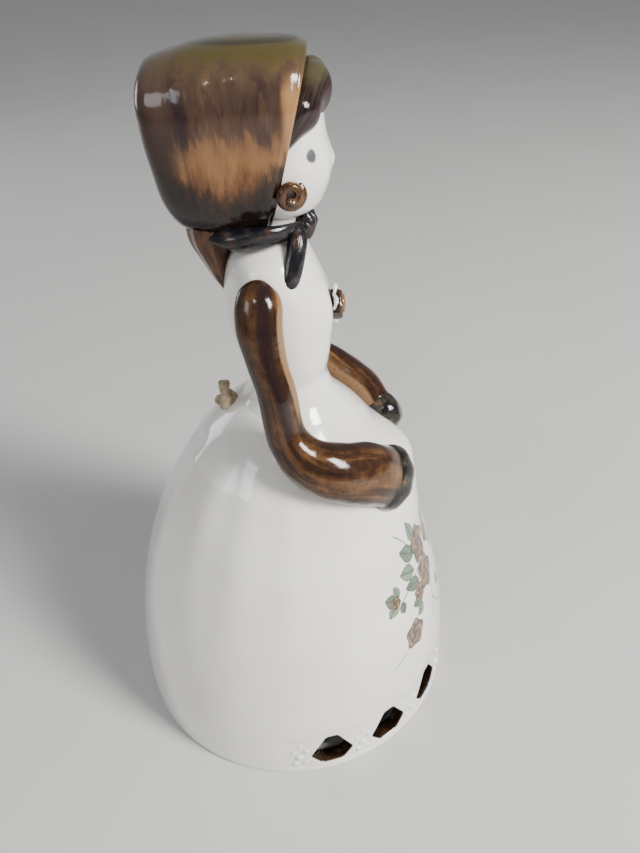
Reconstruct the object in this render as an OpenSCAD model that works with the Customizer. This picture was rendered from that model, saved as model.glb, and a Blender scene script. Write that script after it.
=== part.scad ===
// Porcelain lady bell: a bonneted figure whose wide skirt is the bell.
// Millimetres. Origin at the centre of the hem, +Z up, +X is the figure's front.

/* [Skirt] */
// Diameter of the hem
hem_d = 80; // [60:1:120]
// Height of the waist above the hem
waist_z = 84; // [66:1:110]
// Thickness of the porcelain wall
wall = 3.4; // [2.4:0.1:4.4]
// How square the shoulder of the dome is
dome_power = 1.83; // [1.6:0.01:2.2]
// Width of the waist, side to side
waist_w = 17.4; // [14:0.2:22]
// Depth of the waist, front to back
waist_d = 16.1; // [13:0.1:20]
// How far the waist sits in front of the skirt's axis
waist_x = 3.1; // [0:0.1:5]

/* [Hem openings] */
// Number of pierced openings round the front
opening_count = 8; // [2:1:9]
// Angle between neighbouring openings
opening_pitch = 22; // [18:0.5:36]
// Width of one opening
opening_w = 10; // [6:0.2:12.4]
// Height of one opening
opening_h = 9.4; // [5:0.2:12]
// Height of the band of porcelain left under the openings
opening_z = 2.8; // [1.5:0.1:6]
// Corner radius of the openings
opening_round = 1.4; // [0.5:0.1:2]

/* [Figure] */
// Height of the bodice, waist to collar
bodice_h = 33; // [27:0.5:40]
// Width across the shoulders
shoulder_w = 23.2; // [19:0.2:28]
// Depth of the bodice at the bust
bust_d = 20.6; // [17:0.2:25]
// Length of the bare neck
neck_h = 3.8; // [3:0.1:6]
// Height of the head, chin to crown
head_h = 26.4; // [22:0.2:32]
// Depth of the head, back to nose
head_d = 19.2; // [16:0.2:23]
// Width of the head
head_w = 19.2; // [16:0.2:23]
// Length of the bonnet
bonnet_l = 27.8; // [25:0.2:34]
// Width of the bonnet
bonnet_w = 28; // [25:0.5:34]
// Height of the bonnet
bonnet_h = 32; // [30:0.5:38]

/* [Arms] */
// Thickness of a sleeve at the upper arm
sleeve_d = 8; // [6.4:0.2:9.6]
// Height of the wide end of a sleeve
cuff_h = 13; // [10:0.2:16]
// Width of the wide end of a sleeve
cuff_w = 9.4; // [7.4:0.2:11.4]
// Length of a mitten hand, cuff to fingertips
hand_l = 8; // [5:0.2:9]

/* [Clapper] */
// Diameter of the twine
cord_d = 2.2; // [1.4:0.1:2.4]
// Gap all round the twine in the holes it runs through
cord_gap = 0.25; // [0.15:0.05:0.4]
// How far below the waist the twine's hole is, in the back of the skirt
cord_hole_drop = 4.5; // [2:0.5:10]
// Lean of that hole from upright
cord_hole_lean = 30; // [15:1:40]
// Diameter of the clapper ball
clapper_d = 13; // [10:0.5:16]
// Height of the centre of the clapper ball above the hem
clapper_z = 24; // [20:0.5:30]
// Diameter of the two knots
knot_d = 4.8; // [4:0.1:6]

/* [Hidden] */

PORCELAIN = [0.95, 0.94, 0.91];
BROWN = [0.42, 0.26, 0.14];
TAN = [0.60, 0.45, 0.30];
DARK = [0.13, 0.10, 0.08];
HAIR = [0.20, 0.13, 0.09];
TWINE = [0.72, 0.62, 0.47];

SKIN_N = 36;          // points round the skirt's upper part
BODY_N = 28;          // points round the bodice, head and bonnet
LIMB_N = 16;          // points round an arm, a hand or a ribbon
CORD_N = 8;           // points round the twine

hem_r = hem_d / 2;
band_z = 3;                       // straight band at the hem
dome_z = 0.908 * waist_z;         // where the dome alone would close
dome_top_r = 6.8;                 // flat top of the dome, under the waist
join_z = 0.536 * waist_z;         // the plain round skirt below, the lap above
collar_z = waist_z + bodice_h;
chin_z = collar_z + neck_h;
bonnet_z = collar_z - 0.2;        // underside of the bonnet

// ---------- shared curves ----------

function unit(v) = v / norm(v);

// Catmull-Rom curve through rows of numbers, n steps between two rows
function between(p0, p1, p2, p3, s) =
    0.5 * (2 * p1 + (p2 - p0) * s + (2 * p0 - 5 * p1 + 4 * p2 - p3) * s * s
           + (3 * p1 - p0 - 3 * p2 + p3) * s * s * s);
function smooth(rows, n) =
    let (last = len(rows) - 1)
    [for (i = [0 : last - 1]) for (j = [0 : n - 1])
        between(rows[max(i - 1, 0)], rows[i], rows[i + 1],
                rows[min(i + 2, last)], j / n),
     rows[last]];

// Value of column k at t, in a table whose first column rises
function at(table, t, k, i = 0) =
    t >= table[i + 1][0] && i < len(table) - 2 ? at(table, t, k, i + 1)
    : let (a = table[i], b = table[i + 1])
      a[k] + (b[k] - a[k]) * (t - a[0]) / (b[0] - a[0]);

// A closed skin over rings of equal point count, flat at both ends
module skin(rings) {
    n = len(rings[0]);
    m = len(rings);
    sides = [for (k = [0 : m - 2]) for (i = [0 : n - 1])
        let (a = k * n + i, b = k * n + (i + 1) % n)
        each [[a, a + n, b + n], [a, b + n, b]]];
    polyhedron(points = [for (r = rings) each r],
               faces = concat([[for (i = [0 : n - 1]) i]], sides,
                              [[for (i = [n - 1 : -1 : 0]) (m - 1) * n + i]]),
               convexity = 6);
}

// Level egg-shaped ring: rows of height, back, front and half width
function level_ring(row, n) =
    let (z = row[0], c = (row[1] + row[2]) / 2, a = (row[2] - row[1]) / 2)
    [for (i = [0 : n - 1]) [c + a * cos(360 * i / n), row[3] * sin(360 * i / n), z]];

// Tube along rows of x, y, z, tall half, wide half, lean of the tall axis
function tube_rings(rows, n) =
    let (last = len(rows) - 1, p = [for (r = rows) [r[0], r[1], r[2]]])
    [for (k = [0 : last])
        let (t = unit(p[min(k + 1, last)] - p[max(k - 1, 0)]),
             u0 = unit(cross(t, [0, 1, 0])),
             v0 = cross(t, u0),
             u = cos(rows[k][5]) * u0 + sin(rows[k][5]) * v0,
             v = cross(t, u))
        [for (i = [0 : n - 1])
            p[k] + rows[k][3] * cos(360 * i / n) * u
                 + rows[k][4] * sin(360 * i / n) * v]];

// Corner points of an outline, each turned into an arc of radius r
function rounded(pts, r, steps = 4) =
    let (n = len(pts))
    [for (i = [0 : n - 1])
        let (p = pts[i], a = unit(pts[(i + n - 1) % n] - p),
             b = unit(pts[(i + 1) % n] - p),
             half = acos(max(-1, min(1, a * b))) / 2,
             reach = r / tan(half), c = p + unit(a + b) * r / sin(half),
             f = p + a * reach - c, g = p + b * reach - c,
             turn = atan2(cross(f, g), f * g))
        for (j = [0 : steps])
            let (w = turn * j / steps)
            c + [f[0] * cos(w) - f[1] * sin(w), f[0] * sin(w) + f[1] * cos(w)]];

module both_sides(side) {
    if (side == "right") children();
    else mirror([0, 1, 0]) children();
}

// ---------- skirt ----------

// Radius of the plain dome at height z, for a given base radius and top
function dome_r(z, base, top_z, top_r) =
    let (t = max(0, min(1, (z - band_z) / (top_z - band_z))))
    top_r + (base - top_r) * pow(max(0, 1 - pow(t, dome_power)), 1 / dome_power);
function skirt_r(z) = dome_r(z, hem_r, dome_z, dome_top_r);

// The skirt from the plain dome in to the waist. Columns: share of the height
// between them, share of the way out, and how far the lap swells forward.
LAP = [[0, 1, 0], [0.256, 0.857, 1.6], [0.41, 0.747, 3.1], [0.538, 0.632, 4.6],
       [0.603, 0.575, 4.0], [0.641, 0.54, 2.4], [0.692, 0.478, 0.7],
       [0.782, 0.37, 0], [0.872, 0.22, 0], [0.954, 0.066, 0], [1, 0, 0]];
lap_rows = smooth(LAP, 2);
function lap_z(t) = join_z + t * (waist_z - join_z);
function lap_out(half, k) = half + (skirt_r(join_z) - half) * k;
function lap_ring(row) =
    let (a = lap_out(waist_d / 2, row[1]), b = lap_out(waist_w / 2, row[1]))
    [for (i = [0 : SKIN_N - 1])
        let (w = 360 * i / SKIN_N, swell = row[2] * pow(max(0, cos(w)), 12))
        [waist_x * (1 - row[1]) + a * cos(w) + swell, b * sin(w), lap_z(row[0])]];

// Where the back of the skirt lies at height z
function back_x(z) =
    let (k = at(lap_rows, (z - join_z) / (waist_z - join_z), 1))
    waist_x * (1 - k) - lap_out(waist_d / 2, k);

module plain_skirt(top) {
    steps = 14;
    edge = 0.8;
    rotate_extrude($fn = 96)
        polygon(concat([[0, 0], [hem_r - edge, 0], [hem_r - edge / 4, edge / 4],
                        [hem_r, edge]],
                       [for (i = [0 : steps])
                           let (z = band_z + (top - band_z) * i / steps)
                           [skirt_r(z), z]],
                       [[0, top]]));
}

module skirt_solid() {
    plain_skirt(join_z);
    skin([for (r = lap_rows) lap_ring(r)]);
}

// Height of the ceiling inside the bell
ceiling_z = dome_z - wall;
module hollow() {
    steps = 22;
    rotate_extrude($fn = 96)
        polygon(concat([[0, -1], [hem_r - wall, -1]],
                       [for (i = [0 : steps])
                           let (z = band_z + (ceiling_z - band_z)
                                    * sin(90 * i / steps))
                           [dome_r(z, hem_r - wall, ceiling_z, dome_top_r + 2), z]],
                       [[0, ceiling_z]]));
}

// One opening as seen from outside: a rounded kite, blunt at top and foot
module opening_shape() {
    h = opening_h;
    w = opening_w / 2;
    polygon(rounded([[-w * 0.5, 0], [w * 0.5, 0], [w, h * 0.34],
                     [w * 0.26, h], [-w * 0.26, h], [-w, h * 0.34]],
                    min(opening_round, w * 0.2)));
}

module hem_openings() {
    for (i = [0 : opening_count - 1])
        rotate([0, 0, (i - (opening_count - 1) / 2) * opening_pitch])
            translate([hem_r - 2.5 * wall, 0, opening_z])
                rotate([90, 0, 90])
                    linear_extrude(height = 4 * wall) opening_shape();
}

// The twine's hole: from the outside of the back, down and forward
cord_hole_z = waist_z - cord_hole_drop;
hole_top = [back_x(cord_hole_z), 0, cord_hole_z];
hole_dir = [sin(cord_hole_lean), 0, -cos(cord_hole_lean)];
hole_len = (cord_hole_z - ceiling_z) / cos(cord_hole_lean);
hole_foot = hole_top + hole_dir * hole_len;
hole_d = cord_d + 2 * cord_gap;

module along_hole(from, to, d) {
    translate(hole_top + hole_dir * from)
        rotate([0, 180 - cord_hole_lean, 0])
            cylinder(d = d, h = to - from, $fn = 32);
}

module skirt_shell() {
    color(PORCELAIN) difference() {
        skirt_solid();
        hollow();
        hem_openings();
        along_hole(-8, hole_len + 6, hole_d);
    }
}

// ---------- bodice, neck and head ----------

// Rows: share of the bodice's height, back, front and half width as shares
// of the bust's depth and the shoulders' width
BODICE = [[0.09, -0.245, 0.52, 0.37], [0.24, -0.32, 0.565, 0.405],
          [0.42, -0.385, 0.592, 0.445], [0.545, -0.403, 0.597, 0.468],
          [0.645, -0.408, 0.573, 0.487], [0.72, -0.403, 0.54, 0.5],
          [0.81, -0.379, 0.48, 0.497], [0.9, -0.33, 0.418, 0.44],
          [0.96, -0.25, 0.38, 0.34], [1, -0.17, 0.35, 0.25]];
bodice_rows = concat(
    [[waist_z, waist_x - waist_d / 2, waist_x + waist_d / 2, waist_w / 2]],
    [for (r = BODICE) [waist_z + r[0] * bodice_h, r[1] * bust_d, r[2] * bust_d,
                       r[3] * shoulder_w]]);
collar = bodice_rows[len(bodice_rows) - 1];

module bodice() {
    color(PORCELAIN)
        skin([for (r = smooth(bodice_rows, 2)) level_ring(r, BODY_N)]);
}

neck_rows = [collar,
             [collar_z + 0.3 * neck_h, collar[1] + 1.2, collar[2] - 0.6, collar[3] - 1.1],
             [chin_z, collar[1] + 1.6, collar[2], collar[3] - 1.3]];
module neck() {
    color(PORCELAIN)
        skin([for (r = smooth(neck_rows, 3)) level_ring(r, BODY_N)]);
}

// Rows: share of the head's height, then back, front and half width as
// shares of its depth and width; the face is a plain doll's
HEAD = [[0, -0.09, 0.47, 0.24], [0.035, -0.16, 0.56, 0.31],
        [0.1, -0.22, 0.61, 0.385], [0.2, -0.27, 0.64, 0.445],
        [0.33, -0.31, 0.668, 0.485], [0.42, -0.325, 0.664, 0.497],
        [0.52, -0.332, 0.645, 0.5], [0.66, -0.315, 0.636, 0.485],
        [0.8, -0.25, 0.56, 0.42], [0.91, -0.13, 0.43, 0.3],
        [0.975, 0.0, 0.29, 0.16], [1, 0.1, 0.2, 0.05]];
head_x = 0.3;
module head() {
    color(PORCELAIN) translate([head_x, 0, 0])
        skin([for (r = smooth(HEAD, 2))
                  level_ring([chin_z + r[0] * head_h, r[1] * head_d,
                              r[2] * head_d, r[3] * head_w], BODY_N)]);
}
function cheek_y(share) = at(HEAD, share, 3) * head_w;

// ---------- bonnet ----------

// A bonnet ring stands across the bonnet: x and height of its middle, half
// height, half width, and how far its plane leans forward at the top
function bonnet_ring(x, z, h, w, lean) =
    let (u = [sin(lean), 0, cos(lean)], v = [0, -1, 0])
    [for (i = [0 : BODY_N - 1])
        let (t = 360 * i / BODY_N, p = cos(t), q = sin(t),
             up = sign(p) * pow(abs(p), 0.72),
             out = sign(q) * pow(abs(q), 0.8) * (0.92 + 0.08 * up - 0.1 * (1 - up)))
        [x, 0, z] + h * up * u + w * out * v];

// Rows of the bonnet from the seam to the front: x as a share of the length,
// lift of the middle, half height and half width as shares, lean
BRIM = [[-0.375, 0.485, 0.47, 0.47, -6.5], [-0.30, 0.49, 0.485, 0.495, -4.5],
        [-0.13, 0.497, 0.5, 0.5, 0], [0.03, 0.499, 0.5, 0.497, 6.5],
        [0.135, 0.5, 0.495, 0.485, 12], [0.175, 0.502, 0.478, 0.468, 15]];
CROWN = [[-0.635, 0.5, 0.13, 0.16, -5], [-0.628, 0.497, 0.25, 0.27, -5.5],
         [-0.6, 0.49, 0.35, 0.36, -6], [-0.54, 0.487, 0.42, 0.42, -6.5],
         [-0.45, 0.485, 0.455, 0.452, -6.5], [-0.375, 0.485, 0.455, 0.455, -6.5]];
function bonnet_rings(rows) =
    [for (r = smooth(rows, 3))
        bonnet_ring(r[0] * bonnet_l, bonnet_z + r[1] * bonnet_h,
                    r[2] * bonnet_h, r[3] * bonnet_w, r[4])];

module bonnet_solid() { skin(bonnet_rings(BRIM)); }

module bonnet_brim() {
    color(TAN) difference() {
        bonnet_solid();
        head();
        neck();
        bodice();
    }
}

module bonnet_crown() {
    color(BROWN) skin(bonnet_rings(CROWN));
}

// ---------- hair ----------

fringe_z = chin_z + 0.775 * head_h;
fringe_rows = [[1.6, -cheek_y(0.5) - 0.2, chin_z + 0.3 * head_h, 1.0, 0.9, 0],
               [3.6, -cheek_y(0.5) - 0.2, fringe_z - 9.2, 2.3, 1.7, 0],
               [6.8, -0.84 * cheek_y(0.5), fringe_z - 4.4, 3.3, 2.4, 0],
               [9.3, -0.48 * cheek_y(0.5), fringe_z - 1, 3.8, 2.8, 0],
               [10.3, 0, fringe_z, 3.9, 2.9, 0]];
// Tube that runs across the figure, its half rows mirrored to the far side
function across_rings(rows, n) =
    let (s = smooth(rows, 3), last = len(s) - 1,
         all = concat(s, [for (i = [last - 1 : -1 : 0])
                             [s[i][0], -s[i][1], s[i][2], s[i][3], s[i][4], 0]]),
         p = [for (r = all) [r[0], r[1], r[2]]], end = len(all) - 1)
    [for (k = [0 : end])
        let (t = unit(p[min(k + 1, end)] - p[max(k - 1, 0)]),
             u = unit(cross([1, 0, 0], t) * -1), v = cross(t, u))
        [for (i = [0 : n - 1])
            p[k] + all[k][3] * cos(360 * i / n) * u
                 + all[k][4] * sin(360 * i / n) * v]];

module hair_fringe() {
    color(HAIR) difference() {
        skin(across_rings(fringe_rows, LIMB_N));
        head();
        bonnet_solid();
    }
}

// Hair gathered at the nape, tapering down on to the back of the bodice
nape_rows = [[-9.2, 0, bonnet_z + 3, 4.6, 6.4, 0],
             [-9.4, 0, bonnet_z + 0.4, 4.2, 6, 0],
             [-8.9, 0, bonnet_z - 3.6, 2.9, 4.8, 0],
             [-8.3, 0, bonnet_z - 7.8, 1.6, 2.9, 0],
             [-7.7, 0, bonnet_z - 11, 0.5, 1.0, 0]];
module hair_back() {
    color(HAIR) skin(tube_rings(smooth(nape_rows, 3), LIMB_N));
}

curl_z = chin_z + 0.2 * head_h;
curl_r = 1.75;
module side_curl(side) {
    color(BROWN) both_sides(side)
        translate([5.9, -cheek_y(0.2) - 0.35, curl_z])
            rotate([80, 0, 20]) rotate_extrude($fn = 40)
                translate([curl_r, 0]) circle(r = 1.05, $fn = 20);
}
module side_curl_right() { side_curl("right"); }
module side_curl_left() { side_curl("left"); }

// ---------- ribbon ----------

knot_x = collar[2] + 1.0;
tie_rows = [[-4.2, -7.2, chin_z + 0.5, 1.0, 0.7, 0],
            [0, -7.3, chin_z - 0.4, 1.1, 0.8, 0],
            [3.6, -6.2, chin_z - 1.2, 1.1, 0.8, 0],
            [6.4, -3.6, chin_z - 1.8, 1.0, 0.8, 0],
            [knot_x - 0.4, -1.6, chin_z - 2.1, 0.9, 0.8, 0]];
module bonnet_tie(side) {
    color(DARK) both_sides(side) skin(tube_rings(smooth(tie_rows, 3), 12));
}
module bonnet_tie_right() { bonnet_tie("right"); }
module bonnet_tie_left() { bonnet_tie("left"); }

knot_rows = [[knot_x, 0, chin_z + 0.4, 0.5, 1.0, 0],
             [knot_x, 0, chin_z - 0.5, 1.3, 2.7, 0],
             [knot_x, 0, chin_z - 2.1, 1.6, 3.4, 0],
             [knot_x - 0.1, 0, chin_z - 3.8, 1.3, 2.8, 0],
             [knot_x - 0.2, 0, chin_z - 4.8, 0.5, 1.0, 0]];
module ribbon_knot() {
    color(DARK) skin(tube_rings(smooth(knot_rows, 3), LIMB_N));
}

tail_rows = [[knot_x - 1.3, -3.0, chin_z - 2.0, 0.5, 0.5, 0],
             [knot_x - 1.4, -4.2, chin_z - 3.4, 1.5, 1.2, 0],
             [knot_x - 1.5, -6.4, chin_z - 5.6, 2.0, 1.4, 0],
             [knot_x - 2.4, -8.6, chin_z - 8.4, 2.0, 1.4, 0],
             [knot_x - 3.2, -9.6, chin_z - 10.4, 1.4, 1.1, 0],
             [knot_x - 3.5, -9.9, chin_z - 11.2, 0.4, 0.4, 0]];
module ribbon_tail(side) {
    color(DARK) both_sides(side) skin(tube_rings(smooth(tail_rows, 3), 14));
}
module ribbon_tail_right() { ribbon_tail("right"); }
module ribbon_tail_left() { ribbon_tail("left"); }

// ---------- arms ----------

// The right arm, shoulder to cuff. Places are shares of the shoulder's width,
// and of the lap's width and height, so the forearm stays on the lap.
arm_a = sleeve_d / 2;
lap_w = skirt_r(join_z) - waist_w / 2;
lap_h = waist_z - join_z;
arm_rows = [[-0.4, -0.455 * shoulder_w, collar_z - 5.4, 0.3 * arm_a, 0.3 * arm_a, 0],
            [-0.6, -0.49 * shoulder_w, collar_z - 6.1, 0.78 * arm_a, 0.6 * arm_a, 0],
            [-0.9, -0.535 * shoulder_w, collar_z - 8.2, 1.04 * arm_a, 0.85 * arm_a, 0],
            [-1.1, -0.6 * shoulder_w, collar_z - 12.4, 1.08 * arm_a, 0.9 * arm_a, 0],
            [-0.3, -0.66 * shoulder_w, collar_z - 18, 0.95 * arm_a, 0.88 * arm_a, 0],
            [1.3, -0.73 * shoulder_w, waist_z + 8.6, 0.93 * arm_a, 0.92 * arm_a, -3],
            [2.6, -0.772 * lap_w, waist_z, 0.42 * cuff_w, 0.42 * cuff_w, -8],
            [5.8, -0.822 * lap_w, waist_z - 0.128 * lap_h, 0.38 * cuff_h, 0.48 * cuff_w, -18],
            [0.44 * lap_w, -0.843 * lap_w, waist_z - 0.2 * lap_h, 0.45 * cuff_h, 0.5 * cuff_w, -28],
            [0.656 * lap_w, -0.756 * lap_w, waist_z - 0.267 * lap_h, 0.49 * cuff_h, 0.5 * cuff_w, -38],
            [0.78 * lap_w, -0.675 * lap_w, waist_z - 0.318 * lap_h, 0.5 * cuff_h, 0.5 * cuff_w, -43],
            [0.897 * lap_w, -0.565 * lap_w, waist_z - 0.393 * lap_h, 0.5 * cuff_h, 0.47 * cuff_w, -49]];
arm_curve = smooth(arm_rows, 2);
arm_rings = tube_rings(arm_curve, LIMB_N);
module arm() { skin(arm_rings); }

module sleeve(side) {
    color(BROWN) difference() {
        both_sides(side) arm();
        skirt_solid();
    }
}
module right_sleeve() { sleeve("right"); }
module left_sleeve() { sleeve("left"); }

// The mitten hand starts on the sleeve's end face and closes in a round edge
cuff_ring = arm_rings[len(arm_rings) - 1];
cuff_c = [for (k = [0 : 2]) arm_rows[11][k]];
hand_dir = unit(cuff_c - [for (k = [0 : 2]) arm_curve[len(arm_curve) - 2][k]]);
HAND = [[0, 1.0], [0.18, 1.08], [0.5, 1.1], [0.78, 0.96], [0.93, 0.72], [1, 0.4]];
module hand(side) {
    color(DARK) difference() {
        both_sides(side)
            skin([for (h = smooth(HAND, 2))
                [for (p = cuff_ring)
                    cuff_c + (p - cuff_c) * h[1] + hand_dir * h[0] * hand_l]]);
        skirt_solid();
    }
}
module right_hand() { hand("right"); }
module left_hand() { hand("left"); }

// ---------- corsage ----------

corsage_z = waist_z + 0.545 * bodice_h;
corsage_x = 0.597 * bust_d;
rose_r = 2.9;
module corsage_rose() {
    color(BROWN)
        translate([corsage_x - 0.7, 0, corsage_z]) rotate([0, 90, 0])
            rotate_extrude($fn = 40)
                polygon([[0, 0], [rose_r, 0], [rose_r, 2.1], [rose_r - 0.5, 2.7],
                         [rose_r - 0.95, 2.5], [rose_r - 1.1, 2.9],
                         [rose_r - 1.6, 3.2], [rose_r - 1.95, 2.9], [0, 3.3]]);
}

leaf_l = 3.6;
LEAF = [[0, 0.3], [0.25, 0.9], [0.5, 1.1], [0.75, 0.8], [1, 0.15]];
module leaf() {
    // a blade along +X, slightly domed
    skin([for (r = smooth(LEAF, 2))
        [for (i = [0 : 11]) [r[0] * leaf_l, r[1] * cos(30 * i), 0.55 * sin(30 * i)]]]);
}
module corsage_leaves() {
    color(PORCELAIN)
        for (w = [0, 55, 180, 305])
            translate([corsage_x - 0.1, 0, corsage_z]) rotate([w, 0, 0])
                rotate([0, -80, 0]) translate([rose_r - 1.2, 0, 0]) leaf();
}

// ---------- cord and clapper ----------

// The twine bends just under the mouth of its hole, and hangs from there
bend_drop = 1.6;
pivot = hole_foot + [0, 0, -bend_drop];
bend_r = cord_d / 2;
bend_gap = 0.05;
knot_r = knot_d / 2;
// Route of the hanging twine, down from the bend
CORD_ROUTE = [[0, 0, -1.2], [0, 0, -6], [0, 0, -12], [0, 0, -18], [0, 0, -24],
              [0, 0, -30], [0, 0, -36], [0, 0, -42], [0, 0, -48]];
cord_end_z = clapper_z - clapper_d / 2 - 0.2;
cord_points = concat([for (p = CORD_ROUTE) if (pivot[2] + p[2] > cord_end_z + 2) pivot + p],
                     [[pivot[0], 0, cord_end_z]]);

module cord_in_hole() {
    color(TWINE) difference() {
        along_hole(0, hole_len + 0.2, cord_d);
        translate(pivot) sphere(r = bend_r + bend_gap, $fn = 32);
    }
}

// The outer knot sits on the hole, with its cut end standing up
module outer_knot() {
    stub_d = cord_d * 1.1;
    color(TWINE) translate(hole_top - hole_dir * knot_r * 0.45) {
        sphere(d = knot_d, $fn = 32);
        cylinder(d = stub_d, h = knot_r + 2.2, $fn = 24);
    }
}

module cord_bend() {
    color(TWINE) translate(pivot) sphere(r = bend_r, $fn = 32);
}

module clapper_cord() {
    color(TWINE)
        skin([for (p = cord_points)
            [for (i = [CORD_N - 1 : -1 : 0])
                p + cord_d / 2 * [cos(360 * i / CORD_N), sin(360 * i / CORD_N), 0]]]);
}

module clapper() {
    color(PORCELAIN) translate([pivot[0], 0, clapper_z]) difference() {
        sphere(d = clapper_d, $fn = 64);
        translate([0, 0, -clapper_d])
            cylinder(d = hole_d, h = 2 * clapper_d, $fn = 32);
    }
}

module clapper_knot() {
    color(TWINE) difference() {
        translate([pivot[0], 0, cord_end_z - knot_r * 0.8]) union() {
            sphere(d = knot_d, $fn = 32);
            translate([0, 0, -knot_r - 3])
                cylinder(d = cord_d, h = knot_r + 3, $fn = 24);
        }
        translate([pivot[0] - knot_d, -knot_d, cord_end_z])
            cube([2 * knot_d, 2 * knot_d, knot_d]);
        clapper();
    }
}

// ---------- nodes ----------

skirt_shell();
bodice();
neck();
head();
hair_fringe();
hair_back();
bonnet_brim();
bonnet_crown();
bonnet_tie_right();
bonnet_tie_left();
ribbon_knot();
ribbon_tail_right();
ribbon_tail_left();
side_curl_right();
side_curl_left();
right_sleeve();
left_sleeve();
right_hand();
left_hand();
corsage_rose();
corsage_leaves();
outer_knot();
cord_in_hole();
cord_bend();
clapper_cord();
clapper();
clapper_knot();
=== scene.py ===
"""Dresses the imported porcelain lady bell: its shells, glazes, twine and stage."""

import math

import bmesh
import bpy
from mathutils import Matrix, Vector, noise


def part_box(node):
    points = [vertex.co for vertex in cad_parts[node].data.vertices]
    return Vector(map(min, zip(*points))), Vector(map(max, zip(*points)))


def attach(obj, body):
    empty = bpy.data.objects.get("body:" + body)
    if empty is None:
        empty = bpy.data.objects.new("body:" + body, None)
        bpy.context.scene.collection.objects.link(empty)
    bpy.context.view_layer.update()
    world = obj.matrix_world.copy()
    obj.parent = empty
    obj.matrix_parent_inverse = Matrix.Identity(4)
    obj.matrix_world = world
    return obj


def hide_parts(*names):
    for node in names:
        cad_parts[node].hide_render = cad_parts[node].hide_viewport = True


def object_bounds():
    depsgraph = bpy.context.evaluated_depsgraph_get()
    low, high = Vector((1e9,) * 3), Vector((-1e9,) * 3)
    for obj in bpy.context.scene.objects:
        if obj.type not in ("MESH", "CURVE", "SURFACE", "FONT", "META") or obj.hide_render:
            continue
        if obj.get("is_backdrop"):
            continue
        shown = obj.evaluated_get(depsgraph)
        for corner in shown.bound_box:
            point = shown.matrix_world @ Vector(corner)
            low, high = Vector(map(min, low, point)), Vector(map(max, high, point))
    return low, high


bl_info = {
    "name": "Porcelain Lady Bell",
    "version": (1, 0, 0),
    "blender": (4, 5, 0),
    "location": "View3D > Sidebar > Bell",
    "description": "Glazed porcelain lady bell with a twine-hung clapper",
    "category": "Object",
}

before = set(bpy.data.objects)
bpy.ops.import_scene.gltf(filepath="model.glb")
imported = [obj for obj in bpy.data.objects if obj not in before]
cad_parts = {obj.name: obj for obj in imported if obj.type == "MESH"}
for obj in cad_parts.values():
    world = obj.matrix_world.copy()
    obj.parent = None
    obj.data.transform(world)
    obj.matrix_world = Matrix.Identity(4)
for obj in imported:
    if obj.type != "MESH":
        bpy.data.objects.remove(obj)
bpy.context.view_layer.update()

MM = 0.001
TURN = 2 * math.pi


# ---------- numbers ----------


def mm(*values):
    """A point given in millimetres."""
    return Vector(values) * MM


def clamp(x, low=0.0, high=1.0):
    return max(low, min(high, x))


def ease(x, low, high):
    """0 below low, 1 above high, smooth between."""
    t = clamp((x - low) / (high - low))
    return t * t * (3 - 2 * t)


def hump(x, centre, width):
    """A smooth bump, 1 at its centre."""
    return math.exp(-(((x - centre) / width) ** 2))


def between(p0, p1, p2, p3, s):
    """Catmull-Rom step from row p1 to row p2."""
    return [
        0.5 * (2 * b + (c - a) * s + (2 * a - 5 * b + 4 * c - d) * s * s
               + (3 * b - a - 3 * c + d) * s ** 3)
        for a, b, c, d in zip(p0, p1, p2, p3)
    ]


def smooth_rows(rows, steps):
    """Rows of numbers with steps curved steps between two of them."""
    last = len(rows) - 1
    made = []
    for i in range(last):
        four = [rows[max(i - 1, 0)], rows[i], rows[i + 1], rows[min(i + 2, last)]]
        made += [between(*four, j / steps) for j in range(steps)]
    return made + [list(rows[last])]


def table_at(rows, x, column):
    """Column of a table at x, where its first column rises."""
    for a, b in zip(rows, rows[1:]):
        if x <= b[0] or b is rows[-1]:
            return a[column] + (b[column] - a[column]) * (x - a[0]) / (b[0] - a[0])


# ---------- meshes ----------


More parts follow.
